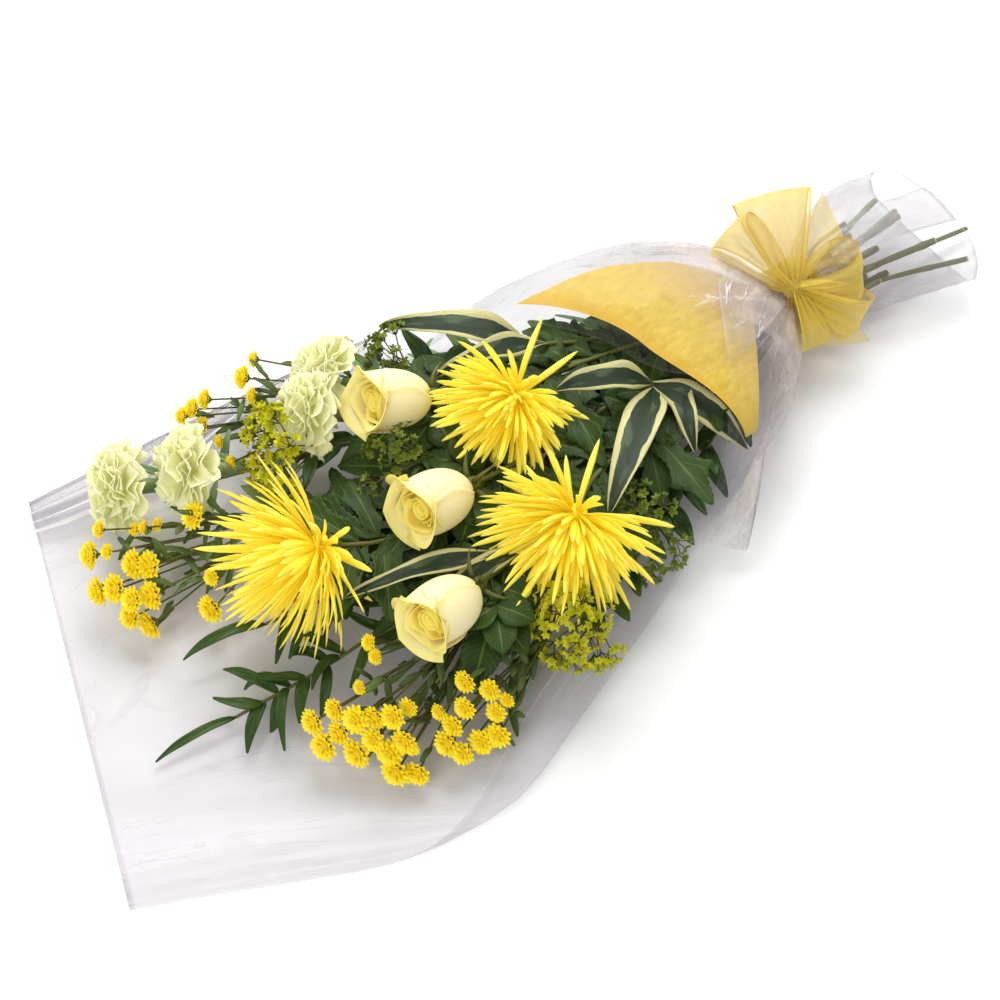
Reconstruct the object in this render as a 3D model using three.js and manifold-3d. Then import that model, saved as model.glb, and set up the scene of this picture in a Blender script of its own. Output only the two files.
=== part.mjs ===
// A flat florist's sheaf of mixed yellow and cream flowers, lying on its back in its clear wrapper.
// Millimetres, +Z up. The cut stems point along +X, the flowers and the open mouth of the wrapper
// lie towards -X, and the surface that the sheaf lies on is z = 0.
//
// Every stem runs from its cut end, through its own place in the tied neck, to its flower. A piece
// that would run through an earlier one is trimmed clear of it, so that no two pieces share space.

import * as THREE from "three";
import { mergeVertices } from "three/addons/utils/BufferGeometryUtils.js";
import Module from "manifold-3d";

const wasm = await Module();
wasm.setup();

const V = (x, y, z) => new THREE.Vector3(x, y, z);
const UP = V(0, 0, 1);
const GOLDEN_ANGLE = Math.PI * (3 - Math.sqrt(5));
const { lerp, clamp, smoothstep, degToRad: degrees } = THREE.MathUtils;

// ---------------------------------------------------------------- driving dimensions
const ORIGIN = V(40.8, 8.24, 0); // the middle of the footprint, which becomes x = y = 0
const GAP = 0.35; // air left between two pieces that would touch

const NECK = V(288, 30, 31); // the middle of the tie
const NECK_COLUMNS = [3, 4, 5, 5, 4, 3]; // how many stems stand in each column across the neck
const STEM_PITCH = 5.3; // from one stem to the next in the neck
const STRAIGHT = 14; // the stems run side by side this far each way from the middle of the tie
const CUT_SPREAD = { y: 3.3, z: 1.8 }; // how far the cut ends fan out, as a multiple of the neck

const FILM = 0.8; // the clear wrapper, thicker than real film
const TISSUE = 0.8; // the yellow inner sleeve
const RIBBON = 0.8;
const BLADE = 0.8; // leaves
const PETAL = 0.9; // petals of the roses and carnations

const TIE = { radius: 17.9, cord: 0.8 };
const BAND = { radius: 27.4, half: 15 };

const MUM = { petals: 27, radius: { mum_1: 68, mum_2: 84, mum_3: 80 }, core: 11, bent: 28, root: 4 };
const PRESSED = { from: 110, share: 0.5 }; // above this height the blooms were pressed down
const ROSE = { petals: 5, height: 57, width: 43 };
const CARNATION = { petals: 8, radius: 33 };
const THOROW_WAX = { florets: 6, radius: 44, floret: 14 };
const STALK = 0.85; // the radius of the stalks in the sprays
const RUSCUS = { leaves: 8, length: 52, width: 10 };

// Each stem: its flower's base, the way that the flower faces, the stem's radius, how long it bends
// before the flower, and how far past the tie it is cut.
const STEMS = {
  mum_1: { base: V(48, 43, 84), faces: V(-0.83, -0.3, 0.46), radius: 2.3, bend: 42, cut: 107 },
  mum_2: { base: V(-130, 15, 76), faces: V(-0.93, 0.24, 0.27), radius: 2.3, bend: 45, cut: 64 },
  mum_3: { base: V(25, -60, 85), faces: V(-0.74, -0.56, 0.37), radius: 2.3, bend: 42, cut: 117 },
  rose_1: { base: V(-7, 80, 80), faces: V(-0.88, 0.17, 0.37), radius: 2.4, bend: 40, cut: 52 },
  rose_2: { base: V(-27, 0, 82), faces: V(-0.95, -0.11, 0.32), radius: 2.4, bend: 40, cut: 75 },
  rose_3: { base: V(-66, -67, 76), faces: V(-0.95, -0.22, 0.24), radius: 2.4, bend: 40, cut: 58 },
  carnation_1: { base: V(-208, 156, 38), faces: V(-0.9, 0.3, 0.25), radius: 2, bend: 50, cut: 60 },
  carnation_2: { base: V(-163, 133, 50), faces: V(-0.9, 0.3, 0.25), radius: 2, bend: 50, cut: 122 },
  carnation_3: { base: V(-69, 119, 62), faces: V(-0.86, 0.42, 0.3), radius: 2, bend: 45, cut: 48 },
  carnation_4: { base: V(-48, 135, 62), faces: V(-0.72, 0.6, 0.34), radius: 2, bend: 45, cut: 113 },
  buttons_1: { base: V(-150, 88, 34), faces: V(-0.96, 0.24, -0.03), radius: 1.8, bend: 50, cut: 66 },
  buttons_2: { base: V(-30, 140, 34), faces: V(-0.93, 0.36, 0.05), radius: 1.8, bend: 50, cut: 56 },
  buttons_3: { base: V(-84, -76, 34), faces: V(-0.95, -0.3, -0.05), radius: 1.8, bend: 50, cut: 72 },
  buttons_4: { base: V(-30, -104, 36), faces: V(-0.94, -0.33, -0.04), radius: 1.8, bend: 45, cut: 135 },
  thorow_wax_1: { base: V(-98, 112, 50), faces: V(-0.93, 0.36, 0.12), radius: 1.5, bend: 45, cut: 50 },
  thorow_wax_2: { base: V(-40, 46, 64), faces: V(-0.93, 0.25, 0.22), radius: 1.5, bend: 45, cut: 70 },
  thorow_wax_3: { base: V(-4, -112, 42), faces: V(-0.9, -0.3, 0.2), radius: 1.5, bend: 40, cut: 46 },
  thorow_wax_4: { base: V(76, -80, 50), faces: V(-0.85, -0.35, 0.3), radius: 1.5, bend: 35, cut: 62 },
  thorow_wax_5: { base: V(2, 120, 52), faces: V(-0.88, 0.4, 0.1), radius: 1.5, bend: 40, cut: 74 },
  ruscus_1: { base: V(-240, -30, 12), faces: V(-0.97, 0.05, -0.1), radius: 1.5, bend: 90, cut: 168 },
  ruscus_2: { base: V(-188, 14, 26), faces: V(-0.96, 0.16, -0.1), radius: 1.5, bend: 80, cut: 54 },
  dracaena_1: { base: V(137, 7, 66), faces: V(-0.8, -0.1, 0.55), radius: 2.3, bend: 40, cut: 44 },
  dracaena_2: { base: V(84, 82, 70), faces: V(-0.9, 0.25, 0.3), radius: 2.3, bend: 40, cut: 68 },
  dracaena_3: { base: V(-30, -52, 66), faces: V(-0.95, 0.15, 0.2), radius: 2.3, bend: 40, cut: 78 },
};

// The leaves: their stem, how far along it they grow, where the tip ends, the width and the kind.
const LEAVES = [
  ["mum_1", 0.8, V(92, 74, 66), 34, "lobed"],
  ["mum_1", 0.88, V(-26, 46, 58), 32, "lobed"],
  ["mum_1", 0.84, V(66, -34, 70), 34, "lobed"],
  ["mum_2", 0.86, V(-88, 62, 62), 30, "lobed"],
  ["mum_2", 0.92, V(-146, -26, 50), 28, "lobed"],
  ["mum_3", 0.74, V(112, -100, 66), 38, "lobed"],
  ["mum_3", 0.84, V(64, -112, 54), 32, "lobed"],
  ["mum_3", 0.9, V(-52, -102, 60), 32, "lobed"],
  ["rose_1", 0.84, V(-22, 112, 64), 26, "rose"],
  ["rose_2", 0.84, V(-68, 40, 56), 26, "rose"],
  ["rose_2", 0.86, V(-20, -50, 68), 28, "rose"],
  ["rose_3", 0.82, V(-56, -34, 54), 26, "rose"],
  ["rose_3", 0.86, V(-100, -116, 44), 26, "rose"],
  ["carnation_1", 0.82, V(-130, 158, 44), 6, "grass"],
  ["carnation_2", 0.85, V(-106, 96, 50), 6, "grass"],
  ["carnation_3", 0.84, V(-14, 146, 66), 6, "grass"],
  ["carnation_4", 0.84, V(34, 140, 50), 6, "grass"],
  ["dracaena_1", 1, V(170, -68, 46), 29, "striped"],
  ["dracaena_1", 0.96, V(39, -76, 88), 31, "striped"],
  ["dracaena_1", 0.98, V(65, 28, 90), 24, "striped"],
  ["dracaena_1", 0.9, V(126, -60, 70), 20, "striped"],
  ["dracaena_2", 1, V(2, 158, 70), 25, "striped"],
  ["dracaena_2", 0.95, V(10, 96, 72), 20, "striped"],
  ["dracaena_3", 1, V(-142, -22, 70), 18, "striped"],
  ["dracaena_3", 0.94, V(-96, -58, 62), 17, "striped"],
];

// The yellow heads of each button spray: x, y, z and width.
const BUTTONS = {
  buttons_1: [
    [-265, 121, 44, 17], [-244, 96, 46, 18], [-272, 100, 30, 18],
    [-258, 75, 40, 16], [-254, 61, 22, 18], [-192, 100, 58, 17],
    [-213, 46, 26, 18], [-251, 131, 52, 11],
  ],
  buttons_2: [
    [-102, 184, 56, 15], [-88, 191, 60, 11], [-103, 170, 50, 11],
    [-134, 184, 54, 13], [-153, 187, 44, 12], [-144, 174, 40, 12],
    [-105, 151, 48, 12],
  ],
  buttons_3: [
    [-202, -73, 34, 16], [-204, -90, 28, 18], [-180, -93, 46, 17],
    [-188, -106, 26, 18], [-159, -107, 50, 16], [-170, -119, 28, 17],
    [-160, -137, 16, 16],
  ],
  buttons_4: [
    [-130, -120, 46, 11], [-114, -127, 46, 14], [-134, -135, 28, 17],
    [-93, -126, 48, 14], [-105, -114, 54, 14], [-102, -149, 28, 16],
  ],
};

// Cross sections of the wrapper from its mouth to its flared foot. Each gives x on the near (-Y)
// and the far side, the furthest y on both sides, the lowest z, the height of both walls, the
// angle at which both free edges end (0 is under the sheaf, 90 at its side and 180 on top), and how
// round the section is, from 0.4 for a flat bag to 1 for an ellipse.
const FLOOR = FILM / 2;
const SECTIONS = [
  { x: [-375, -278], y: [-107, 208], low: FLOOR, wall: [2, 12], end: [84, 138], round: 0.45 },
  { x: [-296, -240], y: [-141, 205], low: FLOOR, wall: [2.4, 14], end: [84, 142], round: 0.45 },
  { x: [-200, -176], y: [-183, 204], low: FLOOR, wall: [4, 16], end: [88, 140], round: 0.45 },
  { x: [-111, -100], y: [-191, 200], low: FLOOR, wall: [10, 19], end: [136, 118], round: 0.5 },
  { x: [-30, -30], y: [-158, 193], low: FLOOR, wall: [30, 26], end: [138, 98], round: 0.55 },
  { x: [54, 46], y: [-127, 175], low: FLOOR, wall: [54, 48], end: [116, 118], round: 0.6 },
  { x: [112, 96], y: [-100, 150], low: FLOOR, wall: [82, 80], end: [106, 160], round: 0.65 },
  { x: [166, 148], y: [-80, 137], low: FLOOR, wall: [100, 100], end: [142, 204], round: 0.7 },
  { x: [214, 206], y: [-57, 124], low: FLOOR, wall: [92, 92], end: [180, 206], round: 0.75 },
  { x: [250, 250], y: [-30, 98], low: 2, wall: [74, 76], end: [190, 206], round: 0.85 },
  { x: [272, 272], y: [3, 57], low: 6, wall: [50, 50], end: [190, 206], round: 1 },
  { x: [281, 281], y: [6, 54], low: 7, wall: [48, 48], end: [190, 206], round: 1 },
  { x: [295, 295], y: [6, 54], low: 7, wall: [48, 48], end: [190, 206], round: 1 },
  { x: [306, 306], y: [2, 60], low: 5, wall: [52, 52], end: [188, 200], round: 1 },
  { x: [336, 336], y: [-10, 84], low: 1, wall: [58, 58], end: [180, 186], round: 0.95 },
  { x: [380, 380], y: [-20, 95], low: FLOOR, wall: [58, 58], end: [166, 172], round: 0.85 },
  { x: [424, 416], y: [-29, 90], low: FLOOR, wall: [50, 50], end: [156, 160], round: 0.8 },
];
const OVERLAP = 2.2; // how far the near edge stands outside the far edge where they overlap
const FLATTENED = 2.4; // how far the open end is pressed down onto the surface
const SCALLOP = 8; // how far the middle of the foot reaches past its sides
const HANGING_CORNER = V(131, -123, 16); // where a loose corner of the film hangs to

// The loops of the bow: where the far end of each lies, how wide and how thick the loop is, and how
// far it is rolled. The tails end in one cut corner.
const KNOT = V(276, 20, 66);
const SHOWN = V(-0.3, -0.44, 0.85); // the way that the face of the bow is turned
const LOOPS = [
  { end: V(294, 77, 106), width: 60, depth: 10, roll: 0 },
  { end: V(251, 74, 94), width: 46, depth: 11, roll: -40 },
  { end: V(328, 4, 70), width: 44, depth: 15, roll: 44 },
  { end: V(314, -20, 42), width: 42, depth: 11, roll: 30 },
  { end: V(274, -18, 36), width: 36, depth: 8, roll: -20 },
];
const TAILS = [
  { end: V(345, 54, 84), width: 30 },
  { end: V(300, -36, 26), width: 26 },
];

// ---------------------------------------------------------------- small tools
// A seeded draw from low to high, the same on every run.
function dice(seed) {
  let state = seed * 7919 + 17;
  return (low, high) => {
    state = (state * 16807) % 2147483647;
    return low + ((high - low) * state) / 2147483647;
  };
}

// Two unit vectors square to a direction and to each other.
function sidesOf(direction) {
  const along = direction.clone().normalize();
  const helper = Math.abs(along.z) > 0.9 ? V(1, 0, 0) : UP;
  const across = helper.clone().cross(along).normalize();
  return [across, along.clone().cross(across)];
}

// A direction that leans away from an axis by tilt, at the angle turn round it.
function leaning(axis, tilt, turn) {
  const [across, over] = sidesOf(axis);
  return axis
    .clone()
    .multiplyScalar(Math.cos(tilt))
    .addScaledVector(across, Math.sin(tilt) * Math.cos(turn))
    .addScaledVector(over, Math.sin(tilt) * Math.sin(turn));
}

const arc = (from, middle, to) => new THREE.QuadraticBezierCurve3(from, middle, to);

// A closed geometry as a solid that can be joined and cut.
function solid(geometry) {
  const bare = geometry.index ? geometry.toNonIndexed() : geometry.clone();
  bare.deleteAttribute("normal");
  bare.deleteAttribute("uv");
  const merged = mergeVertices(bare, 1e-3);
  return new wasm.Manifold(
    new wasm.Mesh({
      numProp: 3,
      vertProperties: merged.attributes.position.array,
      triVerts: new Uint32Array(merged.index.array),
    }),
  );
}

const join = (solids) => wasm.Manifold.union(solids);

// The biggest body of a solid: loose scraps that a cut leaves are dropped.
function biggest(made) {
  const bodies = made.decompose();
  return bodies.reduce((a, b) => (b.volume() > a.volume() ? b : a));
}

// Radii spread evenly along a curve, as the rings that a rod takes.
const even = (radii) => radii.map((radius, i) => [i / (radii.length - 1), radius]);

// A rod bent along a curve: a cylinder whose rings are moved onto the curve. Each ring is a place
// from 0 to 1 along the curve and a radius, and a last radius of 0 makes a point. grow makes it
// that much bigger on every side, and blunts the point.
function rod(curve, ringList, sides, grow = 0) {
  const rings = ringList.length - 1;
  const pointed = ringList[rings][1] + grow === 0;
  let [across] = sidesOf(curve.getTangent(0));
  const steps = ringList.map(([t]) => {
    const along = curve.getTangent(t);
    across = across.clone().addScaledVector(along, -across.dot(along)).normalize();
    return { point: curve.getPoint(t), along, across, over: along.clone().cross(across) };
  });
  const lengthen = steps.map(() => 0);
  lengthen[0] = -grow;
  lengthen[rings] = grow;
  const geometry = new THREE.CylinderGeometry(pointed ? 0 : 1, 1, 1, sides, rings);
  const place = geometry.attributes.position;
  for (let i = 0; i < place.count; i++) {
    const ring = Math.round((place.getY(i) + 0.5) * rings);
    const { point, along, across: left, over } = steps[ring];
    const onAxis = Math.hypot(place.getX(i), place.getZ(i)) < 1e-6;
    const reach = onAxis ? 0 : ringList[ring][1] + grow;
    const turn = Math.atan2(place.getZ(i), place.getX(i));
    const p = point
      .clone()
      .addScaledVector(left, -reach * Math.cos(turn))
      .addScaledVector(over, reach * Math.sin(turn))
      .addScaledVector(along, lengthen[ring]);
    place.setXYZ(i, p.x, p.y, p.z);
  }
  return solid(geometry);
}

// A thin sheet of even thickness on a surface (u, v) -> point. Both faces are split into triangles
// alike. grow makes it that much bigger on every side.
function sheet(surface, across, along, thickness, grow = 0) {
  const half = thickness / 2 + grow;
  const outwards = (i, count) => (i === 0 ? -grow : i === count ? grow : 0);
  const at = (i, j, side) => {
    const [u, v] = [i / across, j / along];
    const [before, after] = [(t, step) => Math.max(t - step, 0), (t, step) => Math.min(t + step, 1)];
    const alongU = surface(after(u, 1 / across), v).sub(surface(before(u, 1 / across), v)).normalize();
    const alongV = surface(u, after(v, 1 / along)).sub(surface(u, before(v, 1 / along))).normalize();
    const normal = alongU.clone().cross(alongV).normalize();
    return surface(u, v)
      .addScaledVector(normal, side * half)
      .addScaledVector(alongU, outwards(i, across))
      .addScaledVector(alongV, outwards(j, along));
  };
  const corners = [];
  const square = (a, b, c, d) => corners.push(a, b, c, a, c, d);
  for (let i = 0; i < across; i++)
    for (let j = 0; j < along; j++) {
      square(at(i, j, 1), at(i + 1, j, 1), at(i + 1, j + 1, 1), at(i, j + 1, 1));
      const [a, b, c, d] = [at(i, j, -1), at(i + 1, j, -1), at(i + 1, j + 1, -1), at(i, j + 1, -1)];
      corners.push(a, c, b, a, d, c);
    }
  for (let i = 0; i < across; i++) {
    square(at(i, 0, -1), at(i + 1, 0, -1), at(i + 1, 0, 1), at(i, 0, 1));
    square(at(i + 1, along, -1), at(i, along, -1), at(i, along, 1), at(i + 1, along, 1));
  }
  for (let j = 0; j < along; j++) {
    square(at(0, j + 1, -1), at(0, j, -1), at(0, j, 1), at(0, j + 1, 1));
    square(at(across, j, -1), at(across, j + 1, -1), at(across, j + 1, 1), at(across, j, 1));
  }
  return solid(new THREE.BufferGeometry().setFromPoints(corners));
}

// A low ball, squashed along an axis.
function ball(centre, radius, axis, squash) {
  const geometry = new THREE.IcosahedronGeometry(radius, 0);
  geometry.scale(1, 1, squash);
  geometry.applyQuaternion(new THREE.Quaternion().setFromUnitVectors(UP, axis));
  geometry.translate(centre.x, centre.y, centre.z);
  return solid(geometry);
}

// ---------------------------------------------------------------- the stems
// Gives each stem its place in the neck. Sorted by their slopes into columns, and by height within
// a column, straight stems can't cross between the neck and the flowers.
function shareOutNeck() {
  for (const stem of Object.values(STEMS)) {
    stem.faces.normalize();
    stem.aim = stem.base.clone().addScaledVector(stem.faces, -stem.bend);
    const run = NECK.x - stem.aim.x;
    stem.sideways = (stem.aim.y - NECK.y) / run;
    stem.upwards = (stem.aim.z - NECK.z) / run;
  }
  const order = Object.values(STEMS).sort((a, b) => a.sideways - b.sideways);
  NECK_COLUMNS.forEach((count, column) => {
    const members = order.splice(0, count).sort((a, b) => a.upwards - b.upwards);
    members.forEach((stem, row) => {
      const y = (column - (NECK_COLUMNS.length - 1) / 2) * STEM_PITCH;
      const z = (row - (count - 1) / 2) * STEM_PITCH;
      stem.slot = V(0, y, z);
    });
  });
}

// The middle line of a stem from its cut end to its flower's base.
function stemLine({ base, aim, slot, cut }) {
  const beyond = (distance, spread) =>
    V(distance, slot.y * lerp(1, CUT_SPREAD.y, spread), slot.z * lerp(1, CUT_SPREAD.z, spread)).add(NECK);
  const leaves = beyond(-STRAIGHT, 0);
  return new THREE.CatmullRomCurve3([
    beyond(cut, cut / 130),
    beyond(cut * 0.55, 0.42),
    beyond(STRAIGHT, 0),
    leaves,
    leaves.clone().lerp(aim, 0.5),
    aim,
    base,
  ]);
}

shareOutNeck();
for (const stem of Object.values(STEMS)) stem.line = stemLine(stem);

// What a stem widens to under its bloom: how far before the base, and the radius there.
const CUPS = {
  mum: [[9, 2.2], [4, 7], [0, 9]],
  rose: [[12, 2.2], [7, 5.6], [0, 6]],
  carnation: [[26, 1.9], [20, 4.8], [0, 6]],
};
const kindOf = (name) => name.replace(/_\d+$/, "");

// A stem, with the green cup, hip or calyx that it ends in.
function stemSolid(name, grow = 0) {
  const { line, radius, bend } = STEMS[name];
  const last = 1 / (line.points.length - 1); // the share of the line that the bend takes
  const shaft = [0, last, 2 * last, 3 * last, 1 - last, 1 - last / 2].map((t) => [t, radius]);
  const end = CUPS[kindOf(name)] ?? [[0, 0.8 * radius]];
  const rings = end.map(([before, reach]) => [1 - (last * before) / bend, reach]);
  const shape = rod(line, [...shaft.filter(([t]) => t < rings[0][0] - 0.01), ...rings], 5, grow);
  return kindOf(name) === "rose" ? join([shape, ...sepals(STEMS[name], grow)]) : shape;
}

// The five sepals of a rose, bent back.
function sepals({ base, faces }, grow) {
  return [0, 1, 2, 3, 4].map((i) => {
    const turn = (i * 2 * Math.PI) / 5;
    const rim = leaning(faces, Math.PI / 2, turn).multiplyScalar(3);
    const foot = base.clone().addScaledVector(faces, -2.4).add(rim);
    const out = foot.clone().addScaledVector(leaning(faces, degrees(100), turn), 12);
    const tip = out.clone().addScaledVector(leaning(faces, degrees(145), turn), 10);
    return rod(arc(foot, out, tip), even([1.8, 1.6, 0]), 3, grow);
  });
}

// ---------------------------------------------------------------- leaves
// A leaf blade along a curve. outline(t) is its half width from 0 at the stalk to 1 at the tip, and
// fold raises its two halves.
function blade(line, outline, across, along, fold, grow) {
  const surface = (u, v) => {
    const side = u * 2 - 1;
    const tangent = line.getTangent(v);
    const aside = UP.clone().cross(tangent).normalize();
    const over = tangent.clone().cross(aside);
    return line
      .getPoint(v)
      .addScaledVector(aside, -side * outline(v))
      .addScaledVector(over, Math.abs(side) * outline(v) * fold);
  };
  return sheet(surface, across, along, BLADE, grow);
}

const NARROWEST = 0.9; // half the width of a leaf at its stalk and at its tip
const oval = (width, full) => (t) =>
  NARROWEST + (width / 2) * Math.sin(Math.PI * t ** (Math.log(0.5) / Math.log(full))) ** 0.8;
const ribbonLike = (width) => (t) =>
  NARROWEST + (width / 2) * smoothstep(t, -0.05, 0.35) * (1 - t ** 2.2) ** 0.8;
const lobed = (width) => (t) =>
  oval(width, 0.55)(t) * (1 - 0.42 * Math.abs(Math.cos(Math.PI * 2.5 * t)));

// A curve from a stem out to a leaf's tip, arched upwards.
const archedTo = (from, tip, arch) => arc(from, from.clone().lerp(tip, 0.5).addScaledVector(UP, arch), tip);

// A rose leaf: a stalk with one leaflet at its end and a pair behind it.
function roseLeaf(from, tip, width, grow) {
  const forward = tip.clone().sub(from);
  const aside = UP.clone().cross(forward).normalize();
  const stalk = archedTo(from, from.clone().lerp(tip, 0.5), 4);
  const parts = [rod(stalk, even([1, 1]), 3, grow)];
  for (const side of [-1, 0, 1]) {
    const start = stalk.getPoint(side ? 0.8 : 1);
    const pairTip = start.clone().addScaledVector(forward, 0.25).addScaledVector(aside, side * width * 1.15);
    parts.push(blade(archedTo(start, side ? pairTip : tip, 3), oval(width, 0.5), 2, 2, 0.25, grow));
  }
  return join(parts);
}

function leaf([stemName, at, tip, width, kind], grow) {
  const from = STEMS[stemName].line.getPoint(at);
  if (kind === "lobed") return blade(archedTo(from, tip, 10), lobed(width), 2, 5, 0.2, grow);
  if (kind === "grass") return blade(archedTo(from, tip, 12), ribbonLike(width), 1, 3, 0, grow);
  if (kind === "striped") return blade(archedTo(from, tip, 24), ribbonLike(width), 2, 4, 0.3, grow);
  return roseLeaf(from, tip, width, grow);
}

const leavesOf = (name, grow) => LEAVES.filter(([owner]) => owner === name).map((row) => leaf(row, grow));

// Soft ruscus: pointed leaves by turns on both sides of the end of its stem, and one at the tip.
function ruscusLeaves(name, index, grow) {
  const stem = STEMS[name];
  const draw = dice(index + 80);
  const parts = [];
  for (let i = 0; i <= RUSCUS.leaves; i++) {
    const at = lerp(0.73, 1, i / RUSCUS.leaves);
    const side = i === RUSCUS.leaves ? 0 : i % 2 ? 1 : -1;
    const from = stem.line.getPoint(at);
    const along = stem.line.getTangent(at);
    const aside = UP.clone().cross(along).normalize();
    const way = along
      .addScaledVector(aside, side * draw(0.5, 1))
      .addScaledVector(UP, side ? draw(-0.1, 0.42) : 0)
      .normalize();
    const tip = from.clone().addScaledVector(way, RUSCUS.length * draw(0.85, 1.15));
    tip.z = Math.max(tip.z, 5);
    parts.push(blade(archedTo(from, tip, 5), oval(RUSCUS.width, 0.42), 2, 2, 0.25, grow));
  }
  return parts;
}

// ---------------------------------------------------------------- flowers
// A spider chrysanthemum: long thin florets, packed round a small core. The outermost bend back,
// and the innermost stand up and curl in.
function mumBloom(stem, index, grow, name) {
  const draw = dice(index + 3);
  const middle = stem.base.clone().addScaledVector(stem.faces, 9);
  const parts = [ball(middle, MUM.core + grow, stem.faces, 0.75)];
  for (let i = 0; i < MUM.petals; i++) {
    const share = (i + 0.5) / MUM.petals; // 0 at the middle, 1 at the rim
    const tilt = degrees(lerp(8, 100, share ** 0.6) + draw(-5, 5));
    const turn = i * GOLDEN_ANGLE + draw(-0.1, 0.1);
    const length = MUM.radius[name] * lerp(1, 0.86, share) * draw(0.86, 1.04) - MUM.root;
    const out = leaning(stem.faces, tilt, turn);
    const rise = leaning(stem.faces, Math.max(tilt - degrees(MUM.bent), 0), turn);
    const start = middle.clone().addScaledVector(out, 5);
    const bent = middle.clone().addScaledVector(out, length * 0.62);
    const tip = bent.clone().addScaledVector(rise, length * 0.38);
    for (const point of [bent, tip]) point.z = Math.min(point.z, lerp(PRESSED.from, point.z, PRESSED.share));
    parts.push(rod(arc(start, bent, tip), even([1.9, 2.5, 0]), 3, grow));
  }
  return join(parts);
}

// The half width of a rose bud at a height from 0 at its base to 1 at its lip.
const roseSwell = (h) => (ROSE.width / 2) * (0.32 + 0.68 * Math.sin(Math.PI * 0.64 * h ** 0.62));

// A half-open rose: petals wrapped round a small heart, the outer ones with their lips bent out.
function roseBloom(stem, index, grow) {
  const draw = dice(index + 20);
  const [across, over] = sidesOf(stem.faces);
  const at = (radius, turn, height) =>
    stem.base
      .clone()
      .addScaledVector(stem.faces, height)
      .addScaledVector(across, radius * Math.cos(turn))
      .addScaledVector(over, radius * Math.sin(turn));
  const heart = [0.42, 0.44, 0.46, 0.2].map((part) => (part * ROSE.width) / 2);
  const axis = new THREE.LineCurve3(at(0, 0, 2), at(0, 0, ROSE.height * 0.8));
  const parts = [rod(axis, even(heart), 6, grow)];
  for (let i = 0; i < ROSE.petals; i++) {
    const outer = i / (ROSE.petals - 1);
    const middle = i * GOLDEN_ANGLE + draw(-0.15, 0.15);
    const height = ROSE.height * lerp(0.94, 0.84, outer) * draw(0.96, 1.04);
    const girth = lerp(0.62, 1, outer);
    const flare = ROSE.width * lerp(0.02, 0.2, outer) * draw(0.8, 1.2);
    const surface = (u, v) => {
      const side = u * 2 - 1;
      const spread = degrees(78) * Math.sin(Math.PI * lerp(0.22, 0.62, v));
      const lip = smoothstep(v, 0.6, 1);
      const radius = roseSwell(v) * girth + flare * lip ** 2;
      const drop = height * lip * (0.2 * side ** 2 + 0.06 * outer * lip);
      return at(radius, middle + spread * side, 3 + v * height - drop);
    };
    parts.push(sheet(surface, 3, 3, PETAL, grow));
  }
  return join(parts);
}

// A carnation: fan-shaped petals with toothed, crimped edges round a small core.
function carnationBloom(stem, index, grow) {
  const draw = dice(index + 40);
  const heart = stem.base.clone().addScaledVector(stem.faces, 9.5);
  const parts = [ball(heart, 9.4 + grow, stem.faces, 0.94)];
  for (let i = 0; i < CARNATION.petals; i++) {
    const share = (i + 0.5) / CARNATION.petals;
    const tilt = degrees(lerp(8, 86, share ** 0.6) + draw(-4, 4));
    const turn = i * GOLDEN_ANGLE + draw(-0.2, 0.2);
    const length = CARNATION.radius * draw(0.9, 1.05);
    const twist = draw(-0.3, 0.3);
    const out = leaning(stem.faces, tilt, turn);
    const away = leaning(stem.faces, tilt + Math.PI / 2, turn);
    const aside = out.clone().cross(away).applyAxisAngle(out, twist);
    const over = away.clone().applyAxisAngle(out, twist);
    const surface = (u, v) => {
      const side = u * 2 - 1;
      const teeth = Math.abs(((u * 2.5 + 0.25) % 1) - 0.5) * 5 * smoothstep(v, 0.5, 1);
      const reach = lerp(0.24, 1, v) * length - teeth - 3 * side * side * v;
      const crimp = 3 * Math.sin(u * Math.PI * 3) * v * v + 4 * v * v;
      return heart
        .clone()
        .addScaledVector(out, reach)
        .addScaledVector(aside, side * lerp(3, 16, v ** 0.7))
        .addScaledVector(over, crimp);
    };
    parts.push(sheet(surface, 3, 1, PETAL, grow));
  }
  return join(parts);
}

// A thin stalk that opens into a round head with a low dome. depth is how deep the head is.
function stalked(from, head, faces, width, depth, sides, grow) {
  const bend = head.clone().addScaledVector(faces, -0.35 * head.distanceTo(from));
  const line = arc(from, bend, head.clone().addScaledVector(faces, depth));
  const [under, rim] = [1 - (1.3 * depth) / line.getLength(), 1 - (0.35 * depth) / line.getLength()];
  return rod(line, [[0, STALK], [under, STALK], [rim, width / 2], [1, 0]], sides, grow);
}

// Button chrysanthemums: stalks that leave the stem one after another, each with a yellow head.
function buttonHeads(name, index, grow) {
  const stem = STEMS[name];
  return BUTTONS[name].map(([x, y, z, width], i) => {
    const head = V(x, y, z);
    const from = stem.line.getPoint(lerp(0.9, 0.995, (i * 0.37) % 1));
    const way = head.clone().sub(from).normalize().lerp(stem.faces, 0.25);
    return stalked(from, head, way.addScaledVector(UP, 0.35).normalize(), width, width * 0.5, 5, grow);
  });
}

// Thorow-wax: a loose dome of small starry cups, each on its own thin stalk.
function thorowWax(name, index, grow) {
  const stem = STEMS[name];
  const draw = dice(index + 60);
  const parts = [];
  for (let i = 0; i < THOROW_WAX.florets; i++) {
    const share = (i + 0.5) / THOROW_WAX.florets;
    const tilt = degrees(lerp(6, 72, Math.sqrt(share)));
    const out = leaning(stem.faces, tilt, i * GOLDEN_ANGLE + draw(-0.2, 0.2));
    const from = stem.line.getPoint(draw(0.94, 0.995));
    const tip = stem.base.clone().addScaledVector(out, THOROW_WAX.radius * draw(0.75, 1.05));
    parts.push(stalked(from, tip, out, THOROW_WAX.floret * draw(0.85, 1.15), 5, 4, grow));
  }
  return parts;
}

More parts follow.
